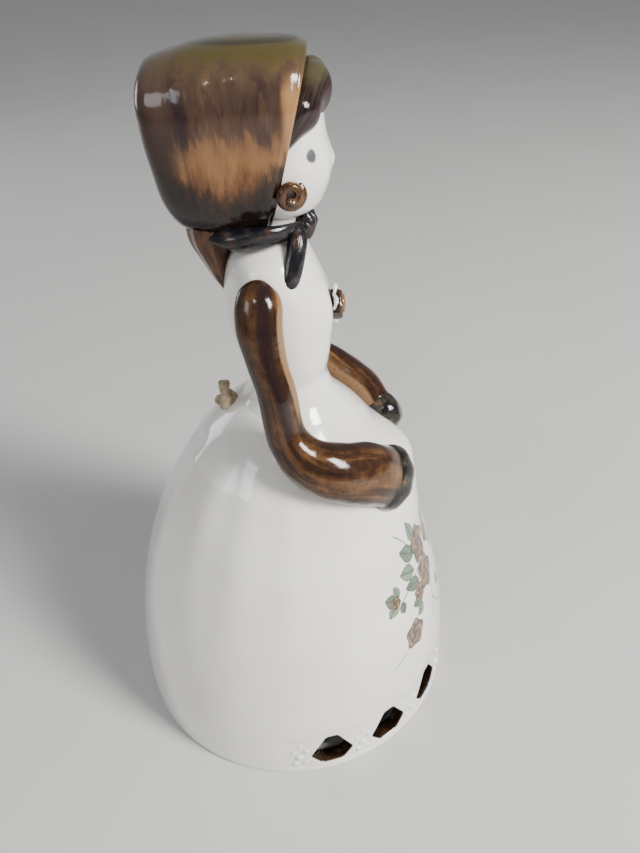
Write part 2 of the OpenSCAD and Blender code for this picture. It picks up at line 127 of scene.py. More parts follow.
def loft(rings, ends=(True, True)):
    """A skin: one circle, extruded ring by ring, each ring's points moved into place.

    Its UV map runs round the rings in U and along them in V."""
    n, last = len(rings[0]), len(rings) - 1
    bm = bmesh.new()
    round_ = bm.verts.layers.float.new("round")
    along = bm.verts.layers.float.new("along")
    ring = list(bmesh.ops.create_circle(bm, segments=n, radius=1)["verts"])
    ring.sort(key=lambda v: math.atan2(v.co.y, v.co.x) % TURN)
    edges = list(bm.edges)
    first = ring
    for k, places in enumerate(rings):
        if k:
            made = bmesh.ops.extrude_edge_only(bm, edges=edges)["geom"]
            new = {g for g in made if isinstance(g, bmesh.types.BMVert)}
            ring = [
                next(e.other_vert(v) for e in v.link_edges if e.other_vert(v) in new)
                for v in ring
            ]
            edges = [
                g for g in made
                if isinstance(g, bmesh.types.BMEdge) and set(g.verts) <= new
            ]
        for i, (v, place) in enumerate(zip(ring, places)):
            v.co = place
            v[round_], v[along] = i / n, k / last
    caps = []
    for loop, wanted in ((first, ends[0]), (ring, ends[1])):
        if wanted:
            rim = [e for e in bm.edges if set(e.verts) <= set(loop) and e.is_boundary]
            made = bmesh.ops.extrude_edge_only(bm, edges=rim)["geom"]
            inner = [g for g in made if isinstance(g, bmesh.types.BMVert)]
            middle = sum((v.co for v in loop), Vector()) / n
            bmesh.ops.pointmerge(bm, verts=inner, merge_co=middle)
            caps.append(middle)
    bmesh.ops.recalc_face_normals(bm, faces=bm.faces)
    uv = bm.loops.layers.uv.new("UVMap")
    poles = {v for v in bm.verts if len(v.link_edges) >= n}
    for face in bm.faces:
        us = [v[round_] for v in face.verts if v not in poles]
        wrap = max(us) - min(us) > 0.5
        us = [u + 1 if wrap and u < 0.5 else u for u in us]
        for corner in face.loops:
            u = corner.vert[round_]
            if corner.vert in poles:
                u = sum(us) / len(us)
            elif wrap and u < 0.5:
                u += 1
            corner[uv].uv = (u, corner.vert[along])
    return bm


def ellipse_ring(centre, u, v, n):
    """n points round centre, u and v being the ring's two half axes."""
    return [
        centre + u * math.cos(TURN * i / n) + v * math.sin(TURN * i / n)
        for i in range(n)
    ]


def level_ring(row, n):
    """A level egg-shaped ring. row: height, back, front, half width, in mm."""
    z, back, front, half = row
    middle = mm((back + front) / 2, 0, z)
    return ellipse_ring(middle, mm((front - back) / 2, 0, 0), mm(0, half, 0), n)


def tube_rings(rows, n):
    """Rings along rows of x, y, z, tall half, wide half (mm) and lean (degrees)."""
    places = [Vector(r[:3]) for r in rows]
    rings = []
    for k, row in enumerate(rows):
        run = places[min(k + 1, len(rows) - 1)] - places[max(k - 1, 0)]
        run.normalize()
        u0 = run.cross(Vector((0, 1, 0))).normalized()
        v0 = run.cross(u0)
        lean = math.radians(row[5])
        u = math.cos(lean) * u0 + math.sin(lean) * v0
        rings.append(ellipse_ring(places[k] * MM, u * row[3] * MM,
                                  run.cross(u) * row[4] * MM, n))
    return rings


def round_end(rings, bulge, steps=5, at_start=False):
    """More rings that close a tube's end in a dome; bulge is its height in metres."""
    if at_start:
        return list(reversed(round_end(list(reversed(rings)), bulge, steps)))
    last, before = rings[-1], rings[-2]
    middle = sum(last, Vector()) / len(last)
    out = (middle - sum(before, Vector()) / len(before)).normalized()
    made = []
    for j in range(1, steps + 1):
        a = math.pi / 2 * j / (steps + 0.25)
        made.append([middle + (p - middle) * math.cos(a) + out * bulge * math.sin(a)
                     for p in last])
    return rings + made


def closed_loft(rings, start, end, steps=3):
    """A skin with a dome on both its ends, start and end being their heights in mm."""
    rings = round_end(rings, end * MM, steps)
    return loft(round_end(rings, start * MM, steps, True))


def folded(rings, law):
    """Grows each ring's points about its middle by law(ring, share of a turn)."""
    for k, ring in enumerate(rings):
        middle = sum(ring, Vector()) / len(ring)
        for i, p in enumerate(ring):
            ring[i] = middle + (p - middle) * law(k, i / len(ring))


def carried(points, closed=False):
    """Two side vectors at each point of a path, turned as little as possible."""
    n = len(points)
    runs = []
    for k in range(n):
        a = points[(k - 1) % n] if closed else points[max(k - 1, 0)]
        b = points[(k + 1) % n] if closed else points[min(k + 1, n - 1)]
        runs.append((b - a).normalized())
    side = runs[0].orthogonal().normalized()
    made = []
    for k in range(n):
        side = (side - runs[k] * side.dot(runs[k])).normalized()
        made.append((side, runs[k].cross(side)))
    return made


def twine_rings(points, radius, twist=0.0, plies=3, n=24, start=0.0):
    """Rings of a laid twine along points; twist is in turns a millimetre."""
    rings, run = [], start
    for k, (p, (u, v)) in enumerate(zip(points, carried(points))):
        if k:
            run += (p - points[k - 1]).length / MM
        ring = []
        for i in range(n):
            a = TURN * i / n
            lobe = abs(math.cos(plies / 2 * (a - TURN * twist * run)))
            r = radius * (0.80 + 0.20 * lobe ** 0.7)
            ring.append(p + (u * math.cos(a) + v * math.sin(a)) * r)
        rings.append(ring)
    return rings


def mirrored(bm):
    """The same piece on the figure's other side."""
    bmesh.ops.scale(bm, vec=(1, -1, 1), verts=bm.verts)
    bmesh.ops.reverse_faces(bm, faces=bm.faces)
    return bm


def seat(bm, node):
    """Moves a piece so that its box has the same centre as the CAD node's box."""
    low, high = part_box(node)
    points = [v.co for v in bm.verts]
    middle = Vector([
        (min(p[k] for p in points) + max(p[k] for p in points)) / 2 for k in range(3)
    ])
    bmesh.ops.translate(bm, vec=(low + high) / 2 - middle, verts=bm.verts)
    return bm


def piece(name, bm, finish, body, nodes=(), subdivide=0):
    """Makes the object, gives it its finish, hangs it under its body and hides the CAD
    nodes it stands in for.
    """
    mesh = bpy.data.meshes.new(name)
    bm.to_mesh(mesh)
    bm.free()
    mesh.polygons.foreach_set("use_smooth", [True] * len(mesh.polygons))
    thing = bpy.data.objects.new(name, mesh)
    bpy.context.scene.collection.objects.link(thing)
    mesh.materials.append(finish)
    if subdivide:
        surface = thing.modifiers.new("Subdivision", "SUBSURF")
        surface.levels = surface.render_levels = subdivide
    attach(thing, body)
    if nodes:
        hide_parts(*nodes)
    return thing


# ---------- finishes ----------


class Value:
    """A socket, so that shader maths is written as an expression."""

    def __init__(self, finish, socket):
        self.finish, self.socket = finish, socket

    def maths(self, operation, *others, flip=False):
        values = [self, *others]
        if flip:
            values.reverse()
        return self.finish.node("ShaderNodeMath", {"operation": operation},
                                dict(enumerate(values)))

    def __add__(self, other):
        return self.maths("ADD", other)

    def __sub__(self, other):
        return self.maths("SUBTRACT", other)

    def __rsub__(self, other):
        return self.maths("SUBTRACT", other, flip=True)

    def __mul__(self, other):
        return self.maths("MULTIPLY", other)

    def __truediv__(self, other):
        return self.maths("DIVIDE", other)

    def __pow__(self, other):
        return self.maths("POWER", other)

    def __lt__(self, other):
        return self.maths("LESS_THAN", other)

    def __gt__(self, other):
        return self.maths("GREATER_THAN", other)

    def __abs__(self):
        return self.maths("ABSOLUTE")

    def __or__(self, other):
        return self.maths("MAXIMUM", other)

    __radd__ = __add__
    __rmul__ = __mul__


class Finish:
    """A material being made."""

    def __init__(self, name, **constants):
        self.material = bpy.data.materials.new(name)
        self.material.use_nodes = True
        self.tree = self.material.node_tree
        self.shader = self.tree.nodes["Principled BSDF"]
        for socket, value in constants.items():
            self.shader.inputs[socket.replace("_", " ")].default_value = value

    def node(self, kind, settings=None, values=None, out=0):
        """A node of this kind, its settings set first, then its sockets."""
        made = self.tree.nodes.new(kind)
        for key, value in (settings or {}).items():
            if key == "stops":
                ramp = made.color_ramp
                while len(ramp.elements) < len(value):
                    ramp.elements.new(0.5)
                for element, (place, colour) in zip(ramp.elements, value):
                    element.position = place
                    element.color = (*colour, 1)
            else:
                setattr(made, key, value)
        for key, value in (values or {}).items():
            self.feed(made.inputs[key], value)
        return Value(self, made.outputs[out])

    def feed(self, socket, value):
        if isinstance(value, Value):
            self.tree.links.new(value.socket, socket)
        elif socket.type == "RGBA" and len(value) == 3:
            socket.default_value = (*value, 1)
        else:
            socket.default_value = value

    def place(self):
        """Object coordinates, in millimetres."""
        at = self.node("ShaderNodeTexCoord", out="Object")
        return self.node("ShaderNodeVectorMath", {"operation": "SCALE"},
                         {0: at, "Scale": 1 / MM})

    def parts(self, vector):
        made = self.node("ShaderNodeSeparateXYZ", None, {0: vector})
        node = made.socket.node
        return [Value(self, node.outputs[k]) for k in range(3)]

    def stretched(self, vector, x, y, z):
        """A vector with each side multiplied, so a pattern is longer or shorter."""
        return self.node("ShaderNodeMapping", None,
                         {"Vector": vector, "Scale": (x, y, z)})

    def uv(self):
        return self.node("ShaderNodeUVMap", {"uv_map": "UVMap"})

    def stored(self, name):
        """An attribute stored at the mesh's points."""
        return self.node("ShaderNodeAttribute", {"attribute_name": name}, out="Fac")

    def angle(self, y, x):
        return self.node("ShaderNodeMath", {"operation": "ARCTAN2"}, {0: y, 1: x})

    def sine(self, value):
        return self.node("ShaderNodeMath", {"operation": "SINE"}, {0: value})

    def noise(self, vector, size, detail=3.0, rough=0.5, warp=0.0):
        """Cloudy values round 0.5; size is a cloud's width in millimetres."""
        return self.node("ShaderNodeTexNoise", None, {
            "Vector": vector, "Scale": 1 / size, "Detail": detail,
            "Roughness": rough, "Distortion": warp})

    def specks(self, vector, size, radius):
        """1 in small round specks, one a cell; size is a cell in millimetres."""
        far = self.node("ShaderNodeTexVoronoi", None,
                        {"Vector": vector, "Scale": 1 / size}, out="Distance")
        return self.ease(far, radius, radius * 0.6)

    def ease(self, value, low, high):
        """0 at low and 1 at high, smooth between; low may be the larger."""
        if low > high:
            return 1 - self.ease(value, high, low)
        return self.node("ShaderNodeMapRange", {"interpolation_type": "SMOOTHSTEP"},
                         {0: value, 1: low, 2: high, 3: 0.0, 4: 1.0})

    def mix(self, share, a, b):
        return self.node("ShaderNodeMix", {"data_type": "RGBA"},
                         {0: share, 6: a, 7: b}, out=2)

    def ramp(self, value, *stops):
        return self.node("ShaderNodeValToRGB", {"stops": stops}, {0: value})

    def bump(self, height, strength, depth):
        """depth is the relief's height in millimetres."""
        normal = self.node("ShaderNodeBump", None, {
            "Strength": strength, "Distance": depth * MM, "Height": height})
        self.feed(self.shader.inputs["Normal"], normal)

    def colour(self, value):
        self.feed(self.shader.inputs["Base Color"], value)

    def rough(self, value):
        self.feed(self.shader.inputs["Roughness"], value)


FINISHES = {}


def finish(name):
    """The finish of this name, made once."""
    if name not in FINISHES:
        FINISHES[name] = MAKERS[name]()
    return FINISHES[name]


def colours():
    return bpy.context.scene.bell_colours


def sizes():
    return bpy.context.scene.bell_sizes


def glaze(name, coat=0.6, **more):
    """A thick clear glaze over whatever colour is painted under it."""
    return Finish(name, IOR=1.5, Coat_Weight=coat, Coat_Roughness=0.04,
                  Coat_IOR=1.5, **more)


def brown_glaze(name):
    """A coloured glaze, thinner than the clear one."""
    return glaze(name, coat=0.05, Specular_IOR_Level=0.38)


def porcelain_ground(f, p):
    """White body under a faintly uneven, very slightly speckled glaze."""
    cloud = f.noise(p, 22, 2)
    tint = f.mix(f.ease(cloud, 0.35, 0.7), colours().porcelain,
                 colours().porcelain_shade)
    pits = f.specks(p, 9.0, 0.035) * f.ease(f.noise(p, 14, 1), 0.52, 0.6)
    tint = f.mix(pits * 0.7, tint, (0.16, 0.12, 0.08))
    f.rough(0.10 + 0.10 * f.noise(p, 6, 3))
    f.bump(f.noise(p, 5, 2) + 0.5 * f.noise(p, 17, 1), 0.25, 0.35)
    return tint


def make_porcelain():
    f = glaze("porcelain_glaze", Subsurface_Weight=0.06, Subsurface_Scale=0.002)
    f.colour(porcelain_ground(f, f.place()))
    return f.material


def segment(across, up, a, b, half, bow=0.0):
    """How far along a painted stroke (0 to 1) and beside it (in half widths)."""
    run = Vector(b) - Vector(a)
    length = run.length
    run /= length
    x, y = across - a[0], up - a[1]
    along = (x * run.x + y * run.y) / length
    beside = (y * run.x - x * run.y) - bow * along * (1 - along)
    return along, abs(beside) / half


def paint_leaf(f, ground, across, up, wobble, a, b, half, shade):
    """A leaf from its stalk a to its tip b, in mm over the skirt."""
    along, beside = segment(across, up, a, b, half)
    body = 4 * along * (1 - along) * (1.12 - 0.3 * along) + wobble * 0.35
    inside = f.ease(body - beside, 0.0, 0.10) * (along > 0) * (along < 1)
    vein = f.ease(beside, 0.14, 0.05)
    rim = f.ease(body - beside, 0.30, 0.08)
    leaf = f.mix(f.ease(wobble, -0.2, 0.25), colours().leaf, shade)
    leaf = f.mix((vein | rim) * 0.8, leaf, colours().leaf_line)
    return f.mix(inside * 0.96, ground, leaf)


def paint_stem(f, ground, across, up, a, b, half, bow, colour):
    along, beside = segment(across, up, a, b, half, bow)
    inside = f.ease(beside, 1.15, 0.75) * (along > 0) * (along < 1)
    return f.mix(inside * 0.8, ground, colour)


def paint_rose(f, ground, across, up, wobble, middle, radius, turn):
    """A full-blown rose: brown petals folded round a dark bud, darkly outlined."""
    x, y = (across - middle[0]) / radius, (up - middle[1]) / radius
    far = (x * x + y * y) ** 0.5
    angle = f.angle(y, x)
    lobes = f.sine(angle * 5 + turn)
    folds = f.sine(far * 9 + angle * 3 + turn * 2 + wobble * 14)
    edge = far - lobes * 0.10 - wobble * 0.3
    inside = f.ease(edge, 1.0, 0.93)
    petal = f.ramp(f.ease(folds, -0.9, 0.9) + wobble * 0.9,
                   (0.0, colours().rose_dark), (0.22, colours().rose),
                   (0.7, colours().rose), (1.0, colours().rose_light))
    petal = f.mix(f.ease(edge, 0.80, 0.95), petal, colours().rose_dark)
    petal = f.mix(f.ease(far + wobble * 0.4, 0.42, 0.12) * 0.85, petal,
                  colours().rose_dark)
    return f.mix(inside * 0.97, ground, petal)


# The painted spray: places in mm, round the skirt from its front and up.
STEMS = [((-14, 44), (-14.5, 25), 0.24, 5), ((-15, 42), (-29.5, 38), 0.24, -4),
         ((-21, 34), (-26, 30), 0.2, 3), ((-25, 29), (-33, 24), 0.18, 3),
         ((-10, 47), (-2, 52), 0.22, 3), ((-18, 47), (-24, 55), 0.22, -3),
         ((-13.5, 30), (-6, 22), 0.2, -4), ((-6, 40), (4, 36), 0.22, 4)]
LEAVES = [((-17, 46), (-23.5, 50.5), 2.3, 0), ((-19, 43), (-25.5, 45.5), 2.1, 1),
          ((-18, 39.5), (-24.6, 41.4), 1.9, 0), ((-15, 48), (-17.5, 55), 2.0, 1),
          ((-18, 35), (-23.6, 35.6), 1.7, 0), ((-28.5, 40.8), (-32.4, 43.0), 1.7, 0),
          ((-28.6, 40.4), (-32.2, 38.2), 1.6, 1), ((-27.6, 41), (-28.6, 44.6), 1.4, 1),
          ((-27.2, 39.6), (-26.8, 36.4), 1.4, 0), ((-7, 47), (-3, 52.5), 1.9, 0),
          ((-22, 31.5), (-19, 33.8), 1.5, 1), ((-5, 38), (0, 41.5), 1.9, 1),
          ((-9, 31), (-5, 27), 1.7, 0), ((2, 35.5), (6.5, 37.5), 1.3, 0)]
ROSES = [((-13.4, 46.5), 4.6, 0.4), ((-14.0, 38.6), 4.4, 2.1),
         ((-24.6, 28.6), 3.6, 1.2), ((-29.0, 40.6), 1.7, 2.6),
         ((-19.4, 37.0), 2.4, 0.2), ((4.6, 34.6), 2.6, 0.8), ((-5.6, 44.2), 3.2, 3.0)]


def make_painted_porcelain():
    f = glaze("painted_porcelain", Subsurface_Weight=0.06, Subsurface_Scale=0.002)
    p = f.place()
    ground = porcelain_ground(f, p)
    x, y, z = f.parts(p)
    angle = f.angle(y, x)
    across = angle * sizes().paint_radius
    wobble = f.noise(p, 1.4, 4, 0.6) - 0.5
    painted = ground
    for a, b, half, bow in STEMS:
        painted = paint_stem(f, painted, across, z, a, b, half, bow, colours().stem)
    for a, b, half, pale in LEAVES:
        shade = colours().leaf_pale if pale else colours().leaf_dark
        painted = paint_leaf(f, painted, across, z, wobble, a, b, half, shade)
    for middle, radius, turn in ROSES:
        painted = paint_rose(f, painted, across, z, wobble, middle, radius, turn)
    outside = f.ease((x * x + y * y) ** 0.5, 20, 24) * f.ease(z, 20, 22)
    painted = f.mix(outside, ground, painted)
    # Near-black brown on the opening walls and the whole inside of the bell: brown glaze
    # on the opening walls, painted shade on the inside, seen through the openings.
    lined = f.stored("lined")
    run = f.noise(f.stretched(p, 1, 1, 0.3), 3.0, 3)
    lining_and_shade_tone = f.mix(f.ease(run, 0.4, 0.62), (0.010, 0.006, 0.004), (0.040, 0.020, 0.009))
    f.colour(f.mix(f.ease(lined, 0.2, 0.7), painted, lining_and_shade_tone))
    return f.material


def make_face():
    """The same porcelain, with two plain painted eyes and a faint mouth."""
    f = glaze("face_glaze", Subsurface_Weight=0.06, Subsurface_Scale=0.002)
    p = f.place()
    x, y, z = f.parts(p)
    low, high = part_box("head")
    tall, wide = (high.z - low.z) / MM, (high.y - low.y) / MM
    eye_z, eye_y = low.z / MM + EYE_HEIGHT * tall, EYE_OUT * wide
    mouth_z = low.z / MM + MOUTH_HEIGHT * tall
    front = x > 0
    face = porcelain_ground(f, p)
    side = abs(y)
    soft = f.noise(p, 0.8, 2) - 0.5
    dy = (side - eye_y) / sizes().eye_half_width
    dz = (z - eye_z) / sizes().eye_half_height
    eye = f.ease((dy * dy + dz * dz) ** 0.5 + soft * 0.3, 1.08, 0.72)
    my, mz = y / 1.5, (z - mouth_z + side * 0.12) / 0.34
    mouth = f.ease((my * my + mz * mz) ** 0.5 + soft * 0.3, 1.1, 0.6)
    face = f.mix(mouth * front * 0.55, face, colours().lips)
    face = f.mix(eye * front * 0.93, face, colours().eye)
    f.colour(face)
    return f.material


def make_bonnet():
    """Brown glaze brushed down the bonnet, olive at the top, black underneath."""
    f = brown_glaze("bonnet_glaze")
    p = f.place()
    x, _, z = f.parts(p)
    low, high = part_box("bonnet_brim")
    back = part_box("bonnet_crown")[0]
    up = (z - low.z / MM) / ((high.z - low.z) / MM)
    along = (x - back.x / MM) / ((high.x - back.x) / MM)
    streak = f.noise(f.stretched(p, 1, 1, 0.16), 1.5, 5, 0.6)
    broad = f.noise(f.stretched(p, 1, 1, 0.22), 4.2, 3, 0.55, 0.4)
    fine = f.noise(f.stretched(p, 1, 1, 0.1), 0.5, 4, 0.6)
    jag = (streak - 0.5) * 0.34 + (broad - 0.5) * 0.3
    h = up + jag
    glazed = f.ramp(
        h, (0.0, (0.005, 0.003, 0.003)), (0.22, (0.012, 0.006, 0.005)),
        (0.31, (0.045, 0.018, 0.008)), (0.39, (0.14, 0.058, 0.022)),
        (0.47, (0.21, 0.100, 0.038)), (0.56, (0.18, 0.085, 0.036)),
        (0.62, (0.065, 0.034, 0.022)), (0.74, (0.045, 0.026, 0.019)),
        (0.88, (0.070, 0.044, 0.026)), (0.97, (0.075, 0.054, 0.018)))
    violet = f.ease(broad, 0.50, 0.62) * f.ease(up, 0.5, 0.62) * f.ease(up, 0.95, 0.8)
    glazed = f.mix(violet * 0.8, glazed, (0.024, 0.011, 0.013))
    tan = f.ease(streak, 0.5, 0.68) * f.ease(up, 0.3, 0.5) * f.ease(up, 0.98, 0.8)
    tan = tan * (0.35 + 0.65 * f.ease(up, 0.62, 0.52))
    glazed = f.mix(tan * 0.5, glazed, (0.23, 0.125, 0.052))
    stripe = (f.ease(along + jag * 0.14, 0.84, 0.90)
              * f.ease(up, 0.24, 0.38) * f.ease(up, 0.9, 0.78))
    glazed = f.mix(stripe * 0.85, glazed, (0.30, 0.158, 0.066))
    under = f.ease(along - up * 0.5 + jag * 0.4, 0.44, 0.58) * f.ease(h, 0.54, 0.42)
    glazed = f.mix(under * 0.9, glazed, (0.006, 0.004, 0.004))
    olive = f.ease(h * 0.35 + up * 0.65, 0.89, 0.96)
    glazed = f.mix(olive * 0.85, glazed, (0.060, 0.048, 0.013))
    seam = f.ease(abs(up - 0.985), 0.012, 0.0036)
    glazed = f.mix(seam * 0.7, glazed, (0.012, 0.008, 0.004))
    # Back of the crown: near-black glaze low down, rising to greyer tones near the top,
    # which are a painted sheen.
    rear = f.ease(along + jag * 0.3, 0.30, 0.18)
    rear_tone_and_sheen = f.ramp(up + jag * 0.6, (0.0, (0.007, 0.004, 0.004)),
                       (0.42, (0.012, 0.007, 0.006)), (0.58, (0.035, 0.016, 0.012)),
                       (0.72, (0.060, 0.034, 0.026)), (0.9, (0.075, 0.047, 0.032)),
                       (1.0, (0.085, 0.06, 0.018)))
    glazed = f.mix(rear * 0.95, glazed, rear_tone_and_sheen)
    glazed = f.mix(f.ease(fine, 0.56, 0.7) * 0.3, glazed, (0.05, 0.025, 0.015))
    pits = f.specks(p, 6.0, 0.07) * f.ease(f.noise(p, 12, 1), 0.55, 0.6)
    glazed = f.mix(pits, glazed, (0.006, 0.004, 0.004))
    f.colour(glazed)
    f.rough(0.07 + 0.10 * streak)
    f.bump(broad * 0.7 + streak * 0.3 - pits * 0.5, 0.3, 0.4)
    return f.material


def make_hair():
    """Near-black brown glaze, gathered in strands, thin and olive on top."""
    f = brown_glaze("hair_glaze")
    p = f.place()
    z = f.parts(p)[2]
    uv = f.uv()
    low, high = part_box("hair_fringe")
    up = (z - low.z / MM) / ((high.z - low.z) / MM)
    strand = f.noise(f.stretched(uv, 34, 3, 1), 1.0, 4, 0.6)
    cloud = f.noise(p, 3.5, 3)
    dark = f.mix(f.ease(strand, 0.42, 0.66), (0.008, 0.004, 0.005),
                 (0.035, 0.014, 0.013))
    thin = f.ease(up + (cloud - 0.5) * 0.5, 0.72, 1.02)
    dark = f.mix(thin * 0.8, dark, (0.07, 0.062, 0.028))
    f.colour(dark)
    f.rough(0.06 + 0.08 * strand)
    f.bump(strand, 0.28, 0.25)
    return f.material


def make_nape():
    """Hair at the nape: black glaze that thins to warm brown along its edge."""
    f = brown_glaze("nape_glaze")
    p = f.place()
    uv = f.uv()
    strand = f.noise(f.stretched(uv, 22, 1.6, 1), 1.0, 4, 0.6)
    cloud = f.noise(p, 4, 2)
    tone = f.ramp(strand * 0.6 + cloud * 0.4, (0.36, (0.012, 0.006, 0.004)),
                  (0.52, (0.075, 0.028, 0.010)), (0.66, (0.13, 0.056, 0.020)))
    f.colour(tone)
    f.rough(0.08 + 0.08 * strand)
    f.bump(strand, 0.3, 0.3)
    return f.material


def make_curl():
    f = brown_glaze("curl_glaze")
    uv = f.uv()
    p = f.place()
    strand = f.noise(f.stretched(uv, 10, 5, 1), 1.0, 3, 0.6)
    cloud = f.noise(p, 2.0, 3)
    f.colour(f.ramp(strand * 0.5 + cloud * 0.5, (0.34, (0.020, 0.009, 0.004)),
                    (0.50, (0.055, 0.024, 0.009)), (0.64, (0.14, 0.070, 0.026))))
    f.rough(0.07 + 0.06 * cloud)
    f.bump(strand, 0.3, 0.2)
    return f.material


def make_ribbon():
    """Blue-black glaze, worn to brown where it is thin."""
    f = brown_glaze("ribbon_glaze")
    p = f.place()
    uv = f.uv()
    weave = f.noise(f.stretched(uv, 12, 5, 1), 1.0, 4, 0.6)
    cloud = f.noise(p, 2.2, 3)
    tone = f.mix(f.ease(cloud, 0.42, 0.6), (0.005, 0.005, 0.007),
                 (0.015, 0.012, 0.014))
    worn = f.ease(cloud + (weave - 0.5) * 0.4, 0.56, 0.74)
    tone = f.mix(worn * 0.6, tone, (0.07, 0.028, 0.012))
    f.colour(tone)
    f.rough(0.08 + 0.12 * weave)
    f.bump(weave, 0.5, 0.25)
    return f.material


def make_sleeve():
    """Mottled brown glaze: a dark band down the middle, amber at the edges."""
    f = brown_glaze("sleeve_glaze")
    p = f.place()
    uv = f.uv()
    v = f.parts(uv)[1]
    mottle = f.noise(p, 2.2, 5, 0.62, 0.6)
    cloud = f.noise(p, 6.5, 2)
    streak = f.noise(f.stretched(uv, 13, 2.6, 1), 1.0, 5, 0.58, 0.8)
    fleck = f.noise(p, 0.7, 3, 0.7)
    tone = f.ramp(streak * 0.55 + mottle * 0.25 + cloud * 0.2,
                  (0.38, (0.012, 0.005, 0.003)), (0.47, (0.034, 0.014, 0.006)),
                  (0.54, (0.080, 0.036, 0.013)), (0.66, (0.17, 0.083, 0.031)))
    wave = (cloud - 0.5) * 0.3 + (streak - 0.5) * 0.5
    band = f.stored("band")
    dark = f.ease(band + wave, 0.45, 0.80)
    tone = f.mix(dark * 0.9, tone, (0.012, 0.005, 0.006))
    amber = f.ease(band + wave * 0.4, 0.15, 0.0)
    tone = f.mix(amber * 0.8, tone, (0.26, 0.145, 0.066))
    tone = f.mix(f.ease(fleck, 0.55, 0.68) * 0.5, tone, (0.018, 0.008, 0.005))
    shoulder = f.ease(v + wave * 0.12, 0.22, 0.08)
    tone = f.mix(shoulder * 0.75, tone, (0.020, 0.009, 0.007))
    cuff = f.ease(v, 0.955, 0.98)
    tone = f.mix(cuff * 0.5, tone, (0.17, 0.085, 0.033))
    f.colour(tone)
    f.rough(0.06 + 0.10 * mottle)
    f.bump(mottle * 0.6 + streak * 0.4, 0.3, 0.35)
    return f.material


def make_mitten():
    """Black glaze that breaks to olive and brown on the high spots."""
    f = brown_glaze("mitten_glaze")
    p = f.place()
    cloud = f.noise(p, 2.4, 4, 0.6)
    fine = f.noise(p, 0.8, 3, 0.6)
    tone = f.mix(f.ease(cloud, 0.45, 0.62), (0.007, 0.006, 0.006),
                 (0.030, 0.028, 0.020))
    tone = f.mix(f.ease(cloud * 0.7 + fine * 0.3, 0.58, 0.68) * 0.8, tone,
                 (0.17, 0.075, 0.03))
    f.colour(tone)
    f.rough(0.06 + 0.10 * fine)
    f.bump(cloud * 0.6 + fine * 0.4, 0.35, 0.3)
    return f.material


def make_rose():
    f = brown_glaze("rose_glaze")
    p = f.place()
    cloud = f.noise(p, 1.3, 4, 0.6)
    depth = f.stored("band")
    tone = f.ramp(depth + (cloud - 0.5) * 0.5, (0.1, (0.016, 0.008, 0.005)),
                  (0.5, (0.075, 0.034, 0.014)), (0.9, (0.21, 0.11, 0.048)))
    f.colour(tone)
    f.rough(0.08 + 0.10 * cloud)
    f.bump(cloud, 0.3, 0.2)
    return f.material


def make_petal():
    """White porcelain leaves, a trace of brown run down into their veins."""
    f = glaze("petal_glaze", Subsurface_Weight=0.05, Subsurface_Scale=0.001)
    p = f.place()
    uv = f.uv()
    v = f.parts(uv)[1]
    cloud = f.noise(p, 1.5, 3)
    stain = f.ease(v + (cloud - 0.5) * 0.4, 0.34, 0.12)
    f.colour(f.mix(stain * 0.75, porcelain_ground(f, p), (0.16, 0.08, 0.035)))
    return f.material


def make_twine():
    """Dry sisal: straw fibres laid along the plies, with painted shade in the hollows
    between them.
    """
    f = Finish("twine_fibre", Specular_IOR_Level=0.25, Sheen_Weight=0.3,
               Sheen_Roughness=0.6)
    p = f.place()
    uv = f.uv()
    hollow = f.stored("band")
    fibre = f.noise(f.stretched(uv, 60, 18, 1), 1.0, 4, 0.7)
    hair = f.noise(p, 0.35, 4, 0.7)
    dirt = f.noise(p, 3, 2)
    tone = f.ramp(fibre * 0.6 + hair * 0.4, (0.34, (0.13, 0.090, 0.050)),
                  (0.50, (0.34, 0.26, 0.16)), (0.66, (0.56, 0.47, 0.33)))
    # Painted shade: darkens the hollows between the plies.
    tone = f.mix(f.ease(hollow, 0.25, 0.0) * 0.75, tone, (0.07, 0.045, 0.022))
    tone = f.mix(f.ease(dirt, 0.55, 0.75) * 0.35, tone, (0.20, 0.13, 0.07))
    f.colour(tone)
    f.rough(0.75 + 0.2 * hair)
    f.bump(fibre * 0.6 + hair * 0.4, 0.8, 0.3)
    return f.material


def make_clapper():
    """White ball, its glaze crazed and scuffed grey round its widest part."""
    f = glaze("clapper_glaze")
    p = f.place()
    z = f.parts(p)[2]
    low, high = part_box("clapper")
    middle = (low.z + high.z) / 2 / MM
    scuff = f.noise(f.stretched(p, 1, 1, 3), 2.0, 5, 0.65)
    belt = f.ease(abs(z - middle), 3.2, 0.6)
    tone = f.mix(f.ease(scuff, 0.52, 0.68) * belt * 0.5, porcelain_ground(f, p),
                 (0.30, 0.27, 0.23))
    f.colour(tone)
    return f.material


def make_floor():
    """Pale matt board with the faintest mottle."""
    f = Finish("floor_board", Roughness=0.55)
    p = f.place()
    cloud = f.noise(p, 60, 4)
    f.colour(f.mix(cloud, (0.54, 0.536, 0.525), (0.59, 0.586, 0.574)))
    f.rough(0.5 + 0.12 * f.noise(p, 9, 3))
    return f.material


MAKERS = {
    "porcelain": make_porcelain,
    "painted": make_painted_porcelain,
    "face": make_face,
    "bonnet": make_bonnet,
    "hair": make_hair,
    "nape": make_nape,
    "curl": make_curl,
    "ribbon": make_ribbon,
    "sleeve": make_sleeve,
    "mitten": make_mitten,
    "rose": make_rose,
    "petal": make_petal,
    "twine": make_twine,
    "clapper": make_clapper,
    "floor": make_floor,
}


# ---------- the skirt ----------

